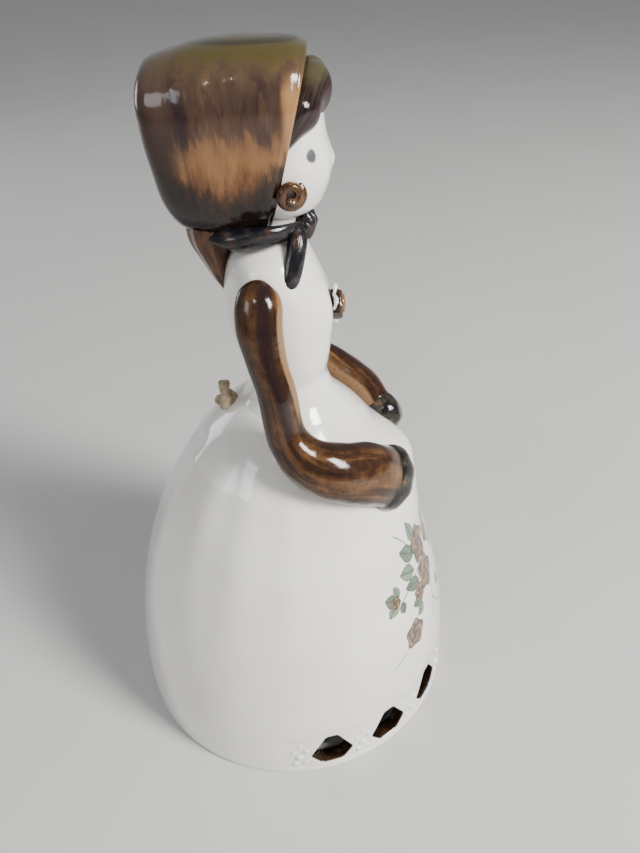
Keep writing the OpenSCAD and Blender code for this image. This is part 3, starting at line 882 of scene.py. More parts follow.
SKIRT_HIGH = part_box("skirt_shell")[1] / MM
HEM_R = SKIRT_HIGH.y          # outside radius at the hem
WAIST_Z = SKIRT_HIGH.z
WALL = 3.4                    # thickness of the porcelain
BAND_Z = 3.0                  # the straight band at the hem
DOME_Z = 0.908 * WAIST_Z
DOME_TOP = 6.8                # flat top of the dome, outside
JOIN_Z = 0.536 * WAIST_Z      # plain round skirt below, the lap above
CEILING_Z = DOME_Z - WALL
WAIST_X, WAIST_DEEP, WAIST_WIDE = 3.1, 8.05, 8.7
COLUMNS = 360                 # points round the skirt
OPENING_PITCH = 22            # degrees between neighbouring hem openings
OPENINGS = [OPENING_PITCH * (k - 3.5) for k in range(8)]
OPENING_FOOT = 2.8
OPENING_HALF, OPENING_TALL, OPENING_CORNER = 5.0, 9.4, 1.0
LAP = [[0, 1, 0], [0.256, 0.857, 1.6], [0.41, 0.747, 3.1], [0.538, 0.632, 4.6],
       [0.603, 0.575, 4.0], [0.641, 0.54, 2.4], [0.692, 0.478, 0.7],
       [0.782, 0.37, 0], [0.872, 0.22, 0], [0.954, 0.066, 0], [1, 0, 0]]


def dome(z, base, top_z, top):
    t = clamp((z - BAND_Z) / (top_z - BAND_Z))
    return top + (base - top) * (1 - t ** 1.83) ** (1 / 1.83)


def outside(z):
    return dome(z, HEM_R, DOME_Z, DOME_TOP)


def inside(z):
    return dome(z, HEM_R - WALL, CEILING_Z, DOME_TOP + 2)


def relief(angle, z):
    """How far the outside stands in from its plain round, in mm."""
    turned = abs(math.degrees(angle))
    scallop = sizes().border_height + 1.1 * math.cos(math.radians(angle_step(turned)))
    border = sizes().border_depth * ease(z, scallop + 0.9, scallop - 0.9)
    border *= ease(turned, 98, 90) * ease(z, 1.0, 2.2)
    flutes = ease(turned, 50, 95) * ease(z, 26, 52) * ease(z, 80, 70)
    flutes *= sizes().flute_depth * (0.5 + 0.5 * math.cos(15 * angle + 0.4))
    return border + flutes


def angle_step(turned):
    """Degrees round from the front, as a phase that peaks over each opening."""
    return (turned / OPENING_PITCH - 0.5) * 360


def opening_outline():
    """Outline of one opening and its outward normals: mm beside its middle, mm up."""
    w, h, r = OPENING_HALF, OPENING_TALL, OPENING_CORNER
    corners = [(-0.5 * w, 0), (0.5 * w, 0), (w, 0.34 * h), (0.26 * w, h),
               (-0.26 * w, h), (-w, 0.34 * h)]
    corners = [Vector(c) for c in corners]
    points = []
    for i, p in enumerate(corners):
        a = (corners[i - 1] - p).normalized()
        b = (corners[(i + 1) % len(corners)] - p).normalized()
        half = a.angle(b) / 2
        middle = p + (a + b).normalized() * r / math.sin(half)
        reach = r / math.tan(half)
        f, g = p + a * reach - middle, p + b * reach - middle
        turn = f.angle_signed(g)
        for j in range(7):
            w_ = -turn * j / 6
            points.append(middle + Vector((f.x * math.cos(w_) - f.y * math.sin(w_),
                                           f.x * math.sin(w_) + f.y * math.cos(w_))))
    fine = []
    for a, b in zip(points, points[1:] + points[:1]):
        steps = max(1, round((b - a).length / 0.1))
        fine += [a.lerp(b, j / steps) for j in range(steps)]
    n, normals = len(fine), []
    for i in range(n):
        run = fine[(i + 4) % n] - fine[i - 4]
        normals.append(Vector((run.y, -run.x)).normalized())
    return fine, normals


def skirt_rows():
    """Rows of the wall from the inside's top, round the foot, to the waist.

    Each row: height, radius, its wall (-1 inside, 0 foot, 1 outside), lap row."""
    steps = 26
    top = [BAND_Z + 10 + (CEILING_Z - BAND_Z - 10) * math.sin(math.pi / 2 * i / steps)
           for i in range(1, steps + 1)]
    band = [1.4, 2.0] + [2.6 + 0.6 * i for i in range(18)]
    rows = [(z, inside(z), -1, None) for z in reversed(band + top)]
    rows += [(0.5, HEM_R - WALL, 0, None), (0.12, HEM_R - WALL + 0.2, 0, None),
             (0.0, HEM_R - WALL + 0.7, 0, None), (0.0, HEM_R - 1.2, 0, None),
             (0.03, HEM_R - 0.7, 0, None), (0.18, HEM_R - 0.32, 0, None),
             (0.42, HEM_R - 0.1, 0, None), (0.8, HEM_R, 0, None)]
    count = round((JOIN_Z - 12.8) / 1.2)
    plain = band + [12.8 + (JOIN_Z - 12.8) * i / count for i in range(1, count)]
    rows += [(z, outside(z), 1, None) for z in plain]
    for lap in smooth_rows(LAP, 4):
        rows.append((JOIN_Z + lap[0] * (WAIST_Z - JOIN_Z), outside(JOIN_Z), 1, lap))
    return rows


def lap_point(angle, lap):
    """A point of the lap, between the plain round skirt and the waist."""
    share, out, swell = lap
    deep = WAIST_DEEP + (outside(JOIN_Z) - WAIST_DEEP) * out
    wide = WAIST_WIDE + (outside(JOIN_Z) - WAIST_WIDE) * out
    z = JOIN_Z + share * (WAIST_Z - JOIN_Z)
    swell *= max(0, math.cos(angle)) ** 12
    inward = relief(angle, z) * ease(out, 0.1, 0.4)
    return Vector((WAIST_X * (1 - out) + (deep - inward) * math.cos(angle) + swell,
                   (wide - inward) * math.sin(angle), z))


def wall_point(where, beside, up, depth, wall):
    """A point beside an opening's middle, depth mm in from that wall's face."""
    if wall > 0:
        angle = math.radians(where) + math.asin(beside / outside(up))
        radius = outside(up) - relief(angle, up)
    else:
        radius = inside(up)
    out = math.sqrt(radius ** 2 - beside ** 2) - depth
    a = math.radians(where)
    return mm(out * math.cos(a) - beside * math.sin(a),
              out * math.sin(a) + beside * math.cos(a), up)


def pierce(bm, row_of, rows):
    """Opens the hem openings through both walls, with rounded lips."""
    outline, normals = opening_outline()
    lip = sizes().lip
    cell = TURN / COLUMNS

    def local(v, where):
        """Beside and up, on the outside's face, of a point on either wall."""
        turned = math.atan2(v.co.y, v.co.x) - math.radians(where)
        z = rows[v[row_of]][0]
        return Vector((outside(z) * math.sin(turned), z - OPENING_FOOT))

    def within(p):
        near = min(range(len(outline)), key=lambda i: (outline[i] - p).length_squared)
        return (p - outline[near]).dot(normals[near]) < lip, near

    for where in OPENINGS:
        a = math.radians(where)
        low, high = a - 0.18, a + 0.18
        near = [v for v in bm.verts
                if rows[v[row_of]][2] and 1.9 < rows[v[row_of]][0] < 12.85
                and low < math.atan2(v.co.y, v.co.x) < high]
        spot = {v: local(v, where) for v in near}
        gone = []
        for face in {f for v in near for f in v.link_faces}:
            if all(v in spot for v in face.verts):
                middle = sum((spot[v] for v in face.verts), Vector((0, 0))) / 4
                if within(middle)[0]:
                    gone.append(face)
        bmesh.ops.delete(bm, geom=gone, context="FACES")
        near = [v for v in near if v.is_valid]
        rim = {1: {}, -1: {}}
        for v in near:
            if v.is_boundary:
                wall = rows[v[row_of]][2]
                key = (round(math.atan2(v.co.y, v.co.x) / cell), v[row_of])
                spot_v = spot[v]
                i = within(spot_v)[1]
                grown = lip if wall > 0 else 0.0
                at = outline[i] + normals[i] * grown
                v.co = wall_point(where, at.x, at.y + OPENING_FOOT, 0, wall)
                rim[wall][(key[0], round(rows[v[row_of]][0], 3))] = (v, i)
        ring = [(v, i) for v, i in rim[1].values()]
        edges = [e for e in bm.edges
                 if e.is_boundary and e.verts[0] in {v for v, _ in ring}
                 and e.verts[1] in {v for v, _ in ring}]
        inner = {key: v for key, (v, _) in rim[-1].items()}
        keys = {v: key for key, (v, _) in rim[1].items()}
        spots = dict(ring)
        for j in range(1, 5):
            turn = math.pi / 2 * min(j, 3) / 3
            made = bmesh.ops.extrude_edge_only(bm, edges=edges)["geom"]
            new = {g for g in made if isinstance(g, bmesh.types.BMVert)}
            next_spots, next_keys = {}, {}
            for v, i in spots.items():
                twin = next(e.other_vert(v) for e in v.link_edges
                            if e.other_vert(v) in new)
                at = outline[i] + normals[i] * lip * (1 - math.sin(turn))
                if j == 4:
                    twin.co = inner[keys[v]].co
                else:
                    twin.co = wall_point(where, at.x, at.y + OPENING_FOOT,
                                         lip * (1 - math.cos(turn)), 1)
                # Marks the opening walls for the near-black brown: brown glaze on the
                # walls, running into the painted shade of the inside.
                twin[bm.verts.layers.float["lined"]] = min(1, j / 3)
                next_spots[twin], next_keys[twin] = i, keys[v]
            spots, keys = next_spots, next_keys
            edges = [g for g in made
                     if isinstance(g, bmesh.types.BMEdge) and set(g.verts) <= new]
        bmesh.ops.remove_doubles(bm, verts=list(spots) + list(inner.values()),
                                 dist=0.01 * MM)


def skirt_mesh():
    rows = skirt_rows()
    bm = bmesh.new()
    row_of = bm.verts.layers.int.new("row")
    lined = bm.verts.layers.float.new("lined")
    top_in, top_out = Vector((0, 0, CEILING_Z)), Vector((0, 0, WAIST_Z))
    chain = [bmesh.ops.create_vert(bm, co=top_in * MM)["vert"][0]]
    for k, (z, radius, _, lap) in enumerate(rows):
        v = bmesh.ops.create_vert(bm, co=mm(radius, 0, z))["vert"][0]
        v[row_of] = k
        chain.append(v)
    chain.append(bmesh.ops.create_vert(bm, co=top_out * MM)["vert"][0])
    chain[0][row_of] = chain[-1][row_of] = -1
    edges = [bm.edges.new(pair) for pair in zip(chain, chain[1:])]
    bmesh.ops.spin(bm, geom=chain + edges, cent=(0, 0, 0), axis=(0, 0, 1),
                   dvec=(0, 0, 0), angle=TURN, steps=COLUMNS, use_merge=True)
    bmesh.ops.remove_doubles(bm, verts=bm.verts, dist=0.001 * MM)
    for v in bm.verts:
        if v[row_of] < 0:
            if v.co.z > DOME_Z * MM:
                v.co.x = WAIST_X * MM
            continue
        z, radius, wall, lap = rows[v[row_of]]
        angle = math.atan2(v.co.y, v.co.x)
        if lap:
            v.co = lap_point(angle, lap) * MM
        elif wall > 0:
            radius -= relief(angle, z)
            v.co = mm(radius * math.cos(angle), radius * math.sin(angle), z)
        # Marks the whole inside wall for the near-black brown, which is painted shade
        # inside the bell.
        v[lined] = 1.0 if wall < 0 else 0.0
    pierce(bm, row_of, rows)
    bmesh.ops.recalc_face_normals(bm, faces=bm.faces)
    return bm


def bore(thing, top, foot, radius):
    """Cuts a round hole through a finished piece, from top to foot."""
    bm = bmesh.new()
    run = foot - top
    turned = run.to_track_quat("Z", "Y").to_matrix().to_4x4()
    bmesh.ops.create_cone(bm, cap_ends=True, segments=32, radius1=radius,
                          radius2=radius, depth=run.length,
                          matrix=Matrix.Translation((top + foot) / 2) @ turned)
    mesh = bpy.data.meshes.new("drill")
    bm.to_mesh(mesh)
    bm.free()
    drill = bpy.data.objects.new("drill", mesh)
    bpy.context.scene.collection.objects.link(drill)
    cut = thing.modifiers.new("Bore", "BOOLEAN")
    cut.operation, cut.solver, cut.object = "DIFFERENCE", "EXACT", drill
    made = bpy.data.meshes.new_from_object(
        thing.evaluated_get(bpy.context.evaluated_depsgraph_get()))
    thing.modifiers.remove(cut)
    old, thing.data = thing.data, made
    bpy.data.meshes.remove(old)
    bpy.data.objects.remove(drill)
    bpy.data.meshes.remove(mesh)


def beads():
    """Small raised beads between the hem openings, and a sprig above each gap."""
    bm = bmesh.new()
    gaps = [OPENING_PITCH * (k - 4) for k in range(9)]
    sprig = [(-1.2, 3.6, 0.85), (1.2, 3.9, 0.8), (-0.2, 6.2, 1.05), (1.5, 8.4, 0.8),
             (-1.5, 8.2, 0.75), (0.1, 10.4, 0.7)]
    for gap in gaps:
        for beside, up, size in sprig:
            angle = math.radians(gap) + beside / HEM_R
            radius = outside(up) - relief(angle, up) - 0.18
            made = bmesh.ops.create_uvsphere(bm, u_segments=14, v_segments=9,
                                             radius=size * MM)["verts"]
            bmesh.ops.scale(bm, verts=made, vec=(0.62, 1, 1))
            bmesh.ops.rotate(bm, verts=made, cent=(0, 0, 0),
                             matrix=Matrix.Rotation(angle, 3, "Z"))
            bmesh.ops.translate(bm, verts=made, vec=mm(
                radius * math.cos(angle), radius * math.sin(angle), up))
    return bm


# ---------- bodice, neck, head ----------

BUST_DEEP, SHOULDER_WIDE, BODICE_TALL = 20.6, 23.2, 33.0
BODICE = [[0.12, -0.258, 0.53, 0.374], [0.24, -0.32, 0.565, 0.405],
          [0.42, -0.385, 0.592, 0.445], [0.545, -0.403, 0.597, 0.468],
          [0.645, -0.408, 0.573, 0.487], [0.72, -0.403, 0.54, 0.5],
          [0.81, -0.379, 0.48, 0.497], [0.9, -0.33, 0.418, 0.44],
          [0.96, -0.25, 0.38, 0.34], [1, -0.17, 0.35, 0.25]]
HEAD_DEEP = HEAD_WIDE = 19.2
HEAD_TALL = 26.4
HEAD_X = 0.3
HEAD = [[0, -0.09, 0.42, 0.24], [0.035, -0.16, 0.50, 0.31],
        [0.1, -0.22, 0.565, 0.385], [0.2, -0.27, 0.625, 0.445],
        [0.33, -0.31, 0.655, 0.485], [0.42, -0.325, 0.645, 0.497],
        [0.52, -0.332, 0.61, 0.5], [0.66, -0.315, 0.59, 0.485],
        [0.8, -0.25, 0.53, 0.42], [0.91, -0.13, 0.42, 0.3],
        [0.975, 0.0, 0.29, 0.16], [1, 0.1, 0.2, 0.05]]
EYE_HEIGHT, EYE_OUT, MOUTH_HEIGHT = 0.42, 0.365, 0.17
COLLAR_Z = WAIST_Z + BODICE_TALL
CHIN_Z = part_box("head")[0].z / MM


def bodice_mesh():
    flare = [(-4.6, 2.9), (-3.7, 3.45), (-2.83, 2.83), (-0.83, 1.29), (1.5, 0.33)]
    rows = [[WAIST_Z + up, WAIST_X - WAIST_DEEP - out, WAIST_X + WAIST_DEEP + out,
             WAIST_WIDE + out] for up, out in flare]
    rows += [[WAIST_Z + r[0] * BODICE_TALL, r[1] * BUST_DEEP, r[2] * BUST_DEEP,
              r[3] * SHOULDER_WIDE] for r in BODICE]
    bm = loft([level_ring(r, 72) for r in smooth_rows(rows, 5)], (True, True))
    for v in bm.verts:
        x, y, z = v.co / MM
        share = (z - WAIST_Z) / BODICE_TALL
        if x > 0:
            bust = hump(share, 0.53, 0.17) * hump(abs(y), 4.6, 2.8) * ease(x, 3, 9)
            parting = hump(share, 0.56, 0.16) * hump(y, 0, 1.7) * ease(x, 3, 9)
            v.co.x += (0.75 * bust - 0.35 * parting) * MM
    return bm


def neck_mesh():
    low = [COLLAR_Z - 1.0, -0.19 * BUST_DEEP, 0.355 * BUST_DEEP, 0.26 * SHOULDER_WIDE]
    rows = [low, [COLLAR_Z + 0.4, -2.9, 6.7, 5.1], [COLLAR_Z + 1.6, -2.2, 6.5, 4.6],
            [COLLAR_Z + 2.8, -1.9, 6.6, 4.45], [CHIN_Z + 0.6, -1.9, 7.1, 4.5]]
    return loft([level_ring(r, 56) for r in smooth_rows(rows, 5)])


def head_mesh():
    """A plain doll's head: a small round nose, soft lips, cheeks and chin."""
    rows = [[CHIN_Z + r[0] * HEAD_TALL, HEAD_X + r[1] * HEAD_DEEP,
             HEAD_X + r[2] * HEAD_DEEP, r[3] * HEAD_WIDE] for r in HEAD]
    rings = [level_ring(r, 112) for r in smooth_rows(rows, 7)]
    bm = closed_loft(rings, 0.5, 0.4)
    for v in bm.verts:
        x, y, z = v.co / MM
        share = (z - CHIN_Z) / HEAD_TALL
        front = ease(x, 5, 10)
        nose = hump(share, 0.33, 0.055) * hump(y, 0, 1.7)
        bridge = hump(share, 0.39, 0.07) * hump(y, 0, 1.0)
        brow = hump(share, 0.53, 0.05) * hump(abs(y), 3.6, 3.4)
        socket = hump(share, EYE_HEIGHT, 0.055) * hump(abs(y), EYE_OUT * HEAD_WIDE, 2.1)
        upper = hump(share, MOUTH_HEIGHT + 0.025, 0.017) * hump(y, 0, 1.5)
        lower = hump(share, MOUTH_HEIGHT - 0.022, 0.018) * hump(y, 0, 1.3)
        parted = hump(share, MOUTH_HEIGHT, 0.009) * hump(y, 0, 1.7)
        chin = hump(share, 0.075, 0.045) * hump(y, 0, 2.4)
        cheek = hump(share, 0.27, 0.1) * hump(abs(y), 5.0, 2.6)
        v.co.x += front * MM * (0.55 * nose + 0.1 * bridge + 0.1 * brow - 0.4 * socket
                                + 0.25 * upper + 0.25 * lower - 0.15 * parted
                                + 0.25 * chin + 0.6 * cheek)
    return bm


# ---------- bonnet ----------

BONNET_LONG, BONNET_WIDE, BONNET_TALL = 27.8, 28.0, 32.0
BONNET_Z = COLLAR_Z - 0.2
BONNET_N = 112                # points round a ring
BRIM = [[-0.375, 0.485, 0.47, 0.47, -6.5], [-0.30, 0.49, 0.485, 0.495, -4.5],
        [-0.13, 0.497, 0.5, 0.5, 0], [0.03, 0.499, 0.5, 0.497, 6.5],
        [0.135, 0.5, 0.495, 0.485, 12], [0.175, 0.502, 0.478, 0.468, 15]]
CROWN = [[-0.635, 0.5, 0.13, 0.16, -5], [-0.628, 0.497, 0.25, 0.27, -5.5],
         [-0.6, 0.49, 0.35, 0.36, -6], [-0.54, 0.487, 0.42, 0.42, -6.5],
         [-0.45, 0.485, 0.455, 0.452, -6.5]]


def bonnet_ring(row, grow=0.0, shift=0.0):
    """A ring across the bonnet; grow in mm outwards, shift in mm forwards."""
    x, lift, tall, wide, lean = row
    lean = math.radians(lean)
    u, v = Vector((math.sin(lean), 0, math.cos(lean))), Vector((0, -1, 0))
    middle = Vector((x * BONNET_LONG + shift, 0, BONNET_Z + lift * BONNET_TALL))
    ring = []
    for i in range(BONNET_N):
        turn = TURN * i / BONNET_N
        p, q = math.cos(turn), math.sin(turn)
        up = math.copysign(abs(p) ** 0.72, p)
        out = math.copysign(abs(q) ** 0.8, q) * (0.92 + 0.08 * up - 0.1 * (1 - up))
        ring.append((middle + (tall * BONNET_TALL + grow) * up * u
                     + (wide * BONNET_WIDE + grow) * out * v) * MM)
    return ring


def brim_mesh():
    """The brim: a rounded back lip, the wide wall, a rolled front rim, and the
    inside, which runs back round the hair."""
    rows = smooth_rows(BRIM, 6)
    rings = [bonnet_ring(rows[0], grow=-1.6, shift=0.5),
             bonnet_ring(rows[0], grow=-0.75, shift=-0.12),
             bonnet_ring(rows[0], grow=-0.28, shift=-0.1)]
    rings += [bonnet_ring(r) for r in rows]
    front = rows[-1]
    for a in (30, 60, 90, 125, 160):
        turn = math.radians(a)
        rings.append(bonnet_ring(front, grow=-0.75 * (1 - math.cos(turn)),
                                 shift=0.75 * math.sin(turn)))
    for deep, grow in ((1.2, -1.65), (2.6, -1.8), (4.6, -2.0), (6.4, -2.4)):
        rings.append(bonnet_ring(front, grow=grow, shift=-deep))
    rings.append(bonnet_ring(front, grow=-6.0, shift=-7.4))
    bm = loft(rings)
    for v in bm.verts:
        x, y, z = v.co / MM
        up = (z - BONNET_Z) / BONNET_TALL
        wave = math.sin(x * 0.9 + 4 * up) * 0.12 + noise.noise(v.co / (7 * MM)) * 0.3
        v.co.y += math.copysign(wave, y) * ease(abs(y), 5, 10) * MM
    return bm


def crown_mesh():
    rows = CROWN + [BRIM[0], between(BRIM[0], BRIM[0], BRIM[1], BRIM[1], 0.5)]
    rings = [bonnet_ring(r, 0.06) for r in smooth_rows(rows, 6)]
    rings += [bonnet_ring(BRIM[1], -0.4), bonnet_ring(BRIM[1], -1.4)]
    bm = loft(round_end(rings, 0.35 * MM, 4, True))
    for v in bm.verts:
        x, y, z = v.co / MM
        # Flush with the brim above, sunk behind its back lip below
        sunk = ease(z, BONNET_Z + 1.6, BONNET_Z - 0.2)
        out = Vector((0, y, z - BONNET_Z)).normalized()
        v.co -= out * 1.7 * sunk * ease(x, -15.0, -10.8) * MM
        dimple = hump(y, 0, 4.5) * hump(z, BONNET_Z + 17, 5.5) * ease(x, -15.5, -17)
        wave = noise.noise(v.co / (6 * MM)) * 0.3
        v.co.x += (0.35 * dimple + wave * ease(x, -11, -14)) * MM
    return bm


# ---------- hair ----------


def cheek(share):
    return table_at(HEAD, share, 3) * HEAD_WIDE


def fringe_mesh():
    """A roll of hair from temple to temple, drawn up over the forehead."""
    top = CHIN_Z + 0.775 * HEAD_TALL
    rows = [[0.6, -cheek(0.5) + 2.2, CHIN_Z + 0.32 * HEAD_TALL, 0.8, 0.7],
            [3.0, -cheek(0.5) + 0.7, top - 8.2, 1.6, 1.2],
            [6.8, -0.84 * cheek(0.5), top - 4.4, 3.3, 2.4],
            [9.3, -0.48 * cheek(0.5), top - 1, 3.8, 2.8], [10.3, 0, top, 3.9, 2.9]]
    half = smooth_rows(rows, 9)
    both = half + [[r[0], -r[1], *r[2:]] for r in reversed(half[:-1])]
    places, rings, n = [Vector(r[:3]) for r in both], [], 48
    for k, row in enumerate(both):
        run = (places[min(k + 1, len(both) - 1)] - places[max(k - 1, 0)]).normalized()
        u = run.cross(Vector((1, 0, 0))).normalized()
        v = run.cross(u)
        share = k / (len(both) - 1)
        ring = []
        for i in range(n):
            a = TURN * i / n
            lock = 0.11 * math.cos(TURN * 7 * share + 0.8 * math.sin(a))
            tight = 1 + lock * ease(min(share, 1 - share), 0.03, 0.15)
            ring.append((places[k] + (u * row[3] * math.cos(a)
                                      + v * row[4] * math.sin(a)) * tight) * MM)
        rings.append(ring)
    return closed_loft(rings, 0.5, 0.5)


def nape_mesh():
    """Hair gathered under the bonnet, running to a point down the back."""
    rows = [[-9.2, 0, BONNET_Z + 3, 4.6, 6.4, 0], [-9.4, 0, BONNET_Z + 0.4, 4.2, 6, 0],
            [-8.9, 0, BONNET_Z - 3.6, 2.9, 4.8, 0],
            [-8.3, 0, BONNET_Z - 7.8, 1.6, 2.9, 0],
            [-7.7, 0, BONNET_Z - 11, 0.5, 1.0, 0]]
    rings = tube_rings(smooth_rows(rows, 8), 48)
    folded(rings, lambda k, u: 1 + 0.045 * math.cos(TURN * 9 * u + k * 0.05))
    return loft(round_end(rings, 0.5 * MM, 4))


def curl_mesh():
    """A ringlet lying on the cheek: a tapering coil of one and a half turns."""
    turns, steps = 1.45, 60
    points = []
    for j in range(steps + 1):
        t = j / steps
        a = TURN * turns * t - 0.6
        reach = (2.15 - 1.15 * t) * MM
        points.append(Vector((reach * math.cos(a), 0.9 * MM * t * 1.1,
                              reach * math.sin(a))))
    rings = []
    for j, (p, (u, v)) in enumerate(zip(points, carried(points))):
        t = j / steps
        thick = (0.95 - 0.25 * t) * ease(t, -0.15, 0.1) * MM
        ring = []
        for i in range(20):
            a = TURN * i / 20
            ring.append(p + (u * math.cos(a) + v * math.sin(a))
                        * thick * (1 + 0.07 * math.cos(5 * a)))
        rings.append(ring)
    bm = closed_loft(rings, 0.6, 0.6)
    bmesh.ops.rotate(bm, verts=bm.verts, cent=(0, 0, 0),
                     matrix=Matrix.Rotation(math.pi, 3, "X"))
    bmesh.ops.rotate(bm, verts=bm.verts, cent=(0, 0, 0),
                     matrix=Matrix.Rotation(math.radians(20), 3, "Z"))
    return seat(bm, "side_curl_right")


# ---------- ribbon ----------

KNOT_X = 0.35 * BUST_DEEP + 1.0


def tie_mesh():
    rows = [[-8.6, -5.6, CHIN_Z - 2.4, 1.0, 1.0, 0],
            [-4.6, -7.4, CHIN_Z - 2.4, 2.1, 1.6, 0],
            [0, -7.6, CHIN_Z - 2.0, 2.0, 1.5, 0],
            [3.8, -6.4, CHIN_Z - 1.8, 1.5, 1.1, 0],
            [6.4, -4.2, CHIN_Z - 1.9, 1.2, 0.9, 0],
            [KNOT_X - 0.3, -1.8, CHIN_Z - 2.1, 1.0, 0.9, 0]]
    rings = tube_rings(smooth_rows(rows, 7), 32)
    folded(rings, lambda k, u: 1 + 0.09 * math.cos(TURN * 3 * u + 0.22 * k))
    return closed_loft(rings, 0.4, 0.4)


def knot_mesh():
    """The ribbon's bow: two short fat loops either side of a pinched middle."""
    half = [[KNOT_X - 0.2, -3.5, CHIN_Z - 2.0, 0.7, 0.6],
            [KNOT_X - 0.1, -2.9, CHIN_Z - 2.1, 2.2, 1.3],
            [KNOT_X, -1.9, CHIN_Z - 2.1, 2.5, 1.55],
            [KNOT_X, -1.0, CHIN_Z - 2.1, 1.6, 1.2],
            [KNOT_X + 0.2, -0.55, CHIN_Z - 2.1, 1.9, 1.55],
            [KNOT_X + 0.25, 0, CHIN_Z - 2.1, 2.0, 1.65]]
    rows = smooth_rows(half, 6)
    rows += [[r[0], -r[1], *r[2:]] for r in reversed(rows[:-1])]
    rings = [ellipse_ring(mm(x, y, z), mm(0, 0, tall), mm(deep, 0, 0), 40)
             for x, y, z, tall, deep in rows]
    folded(rings, lambda k, u: 1 + 0.05 * math.cos(TURN * 4 * u + 0.5))
    return closed_loft(rings, 0.3, 0.3)


def tail_mesh():
    """A short ribbon tail, rolled, with a hem line across its lower end."""
    rows = [[KNOT_X - 1.5, -5.2, CHIN_Z - 1.6, 0.8, 0.8, 0],
            [KNOT_X - 1.7, -6.1, CHIN_Z - 2.8, 1.6, 1.4, 0],
            [KNOT_X - 2.2, -7.4, CHIN_Z - 5.0, 1.75, 1.6, 0],
            [KNOT_X - 3.0, -8.8, CHIN_Z - 8.0, 1.75, 1.6, 0],
            [KNOT_X - 3.6, -9.6, CHIN_Z - 10.0, 1.5, 1.3, 0],
            [KNOT_X - 3.8, -9.9, CHIN_Z - 11.0, 0.7, 0.6, 0]]
    rings = tube_rings(smooth_rows(rows, 7), 36)
    last = len(rings) - 1
    folded(rings, lambda k, u: (1 + 0.06 * math.cos(TURN * 2 * u + 1.0))
           * (1 - 0.07 * hump(k / last, 0.8, 0.02)))
    return closed_loft(rings, 0.3, 0.25)


# ---------- arms ----------

SLEEVE_THICK, CUFF_TALL, CUFF_WIDE, HAND_LONG = 8.0, 13.0, 9.4, 8.0
LAP_WIDE, LAP_TALL = outside(JOIN_Z) - WAIST_WIDE, WAIST_Z - JOIN_Z
ARM_N = 64


def arm_rows():
    a = SLEEVE_THICK / 2
    w, s, h = LAP_WIDE, SHOULDER_WIDE, LAP_TALL
    z, c, d = WAIST_Z, CUFF_TALL, CUFF_WIDE
    return [
        [-0.4, -0.455 * s, COLLAR_Z - 5.4, 0.3 * a, 0.3 * a, 0],
        [-0.6, -0.49 * s, COLLAR_Z - 6.1, 0.78 * a, 0.6 * a, 0],
        [-0.9, -0.535 * s, COLLAR_Z - 8.2, 1.04 * a, 0.85 * a, 0],
        [-1.1, -0.6 * s, COLLAR_Z - 12.4, 1.08 * a, 0.9 * a, 0],
        [-0.3, -0.66 * s, COLLAR_Z - 18, 0.95 * a, 0.88 * a, 0],
        [1.3, -0.73 * s, z + 8.6, 0.93 * a, 0.92 * a, -3],
        [2.6, -0.772 * w, z, 0.42 * d, 0.42 * d, -8],
        [5.8, -0.822 * w, z - 0.128 * h, 0.38 * c, 0.48 * d, -18],
        [0.44 * w, -0.843 * w, z - 0.2 * h, 0.45 * c, 0.5 * d, -28],
        [0.656 * w, -0.756 * w, z - 0.267 * h, 0.49 * c, 0.5 * d, -38],
        [0.78 * w, -0.675 * w, z - 0.318 * h, 0.5 * c, 0.5 * d, -43],
        [0.897 * w, -0.565 * w, z - 0.393 * h, 0.5 * c, 0.47 * d, -49],
    ]


def sleeve_mesh(side):
    """The drooping sleeve: soft folds along the forearm, a tucked-in cuff."""
    rings = tube_rings(smooth_rows(arm_rows(), 6), ARM_N)
    last = len(rings) - 1
    for k, ring in enumerate(rings):
        middle = sum(ring, Vector()) / len(ring)
        v = k / last
        fold = ease(v, 0.5, 0.72)
        for i, p in enumerate(ring):
            u = i / ARM_N
            groove = (hump(u, 0.56, 0.035) * 0.075 + hump(u, 0.82, 0.03) * 0.045
                      + hump(u, 0.70, 0.025) * 0.035) * fold
            elbow = 0.05 * hump(v, 0.55, 0.05) * hump(u, 0.25, 0.12)
            grain = 0.03 * noise.noise(p / (3.2 * MM))
            ring[i] = middle + (p - middle) * (1 - groove - elbow + grain)
    cuff, before = rings[-1], rings[-2]
    middle = sum(cuff, Vector()) / ARM_N
    out = (middle - sum(before, Vector()) / ARM_N).normalized()
    for grow, on in ((1.02, 0.35), (1.0, 0.75), (0.94, 0.95), (0.86, 0.85), (0.7, 0.5)):
        rings.append([middle + (p - middle) * grow + out * on * MM for p in cuff])
    rings = round_end(rings, 0.4 * MM, 4, True)
    bm = loft(rings)
    shade(bm, sleeve_band)
    return bm if side == "right" else mirrored(bm)


def sleeve_band(u, v):
    """How dark the glaze lies: most along the outer side, none at the edges."""
    upper = (0.46 + 0.40 * hump(u, 0.21, 0.06) + 0.30 * hump(u, 0.48, 0.09)) * (
        ease(u, 0.09, 0.16) * ease(u, 0.68, 0.58))
    lower = 0.30 + 0.40 * hump(u, 0.06, 0.06) + 0.75 * hump(u, 0.49, 0.09)
    lower *= ease(u, 0.66, 0.58) + ease(u, 0.90, 0.99)
    fore = ease(v, 0.45, 0.65)
    return clamp(upper * (1 - fore) + lower * fore)


def shade(bm, law):
    """Stores law(round, along) at each point as the attribute "band"."""
    layers = bm.verts.layers.float
    band = layers.new("band")
    round_, along = layers["round"], layers["along"]
    for v in bm.verts:
        v[band] = law(v[round_], v[along])


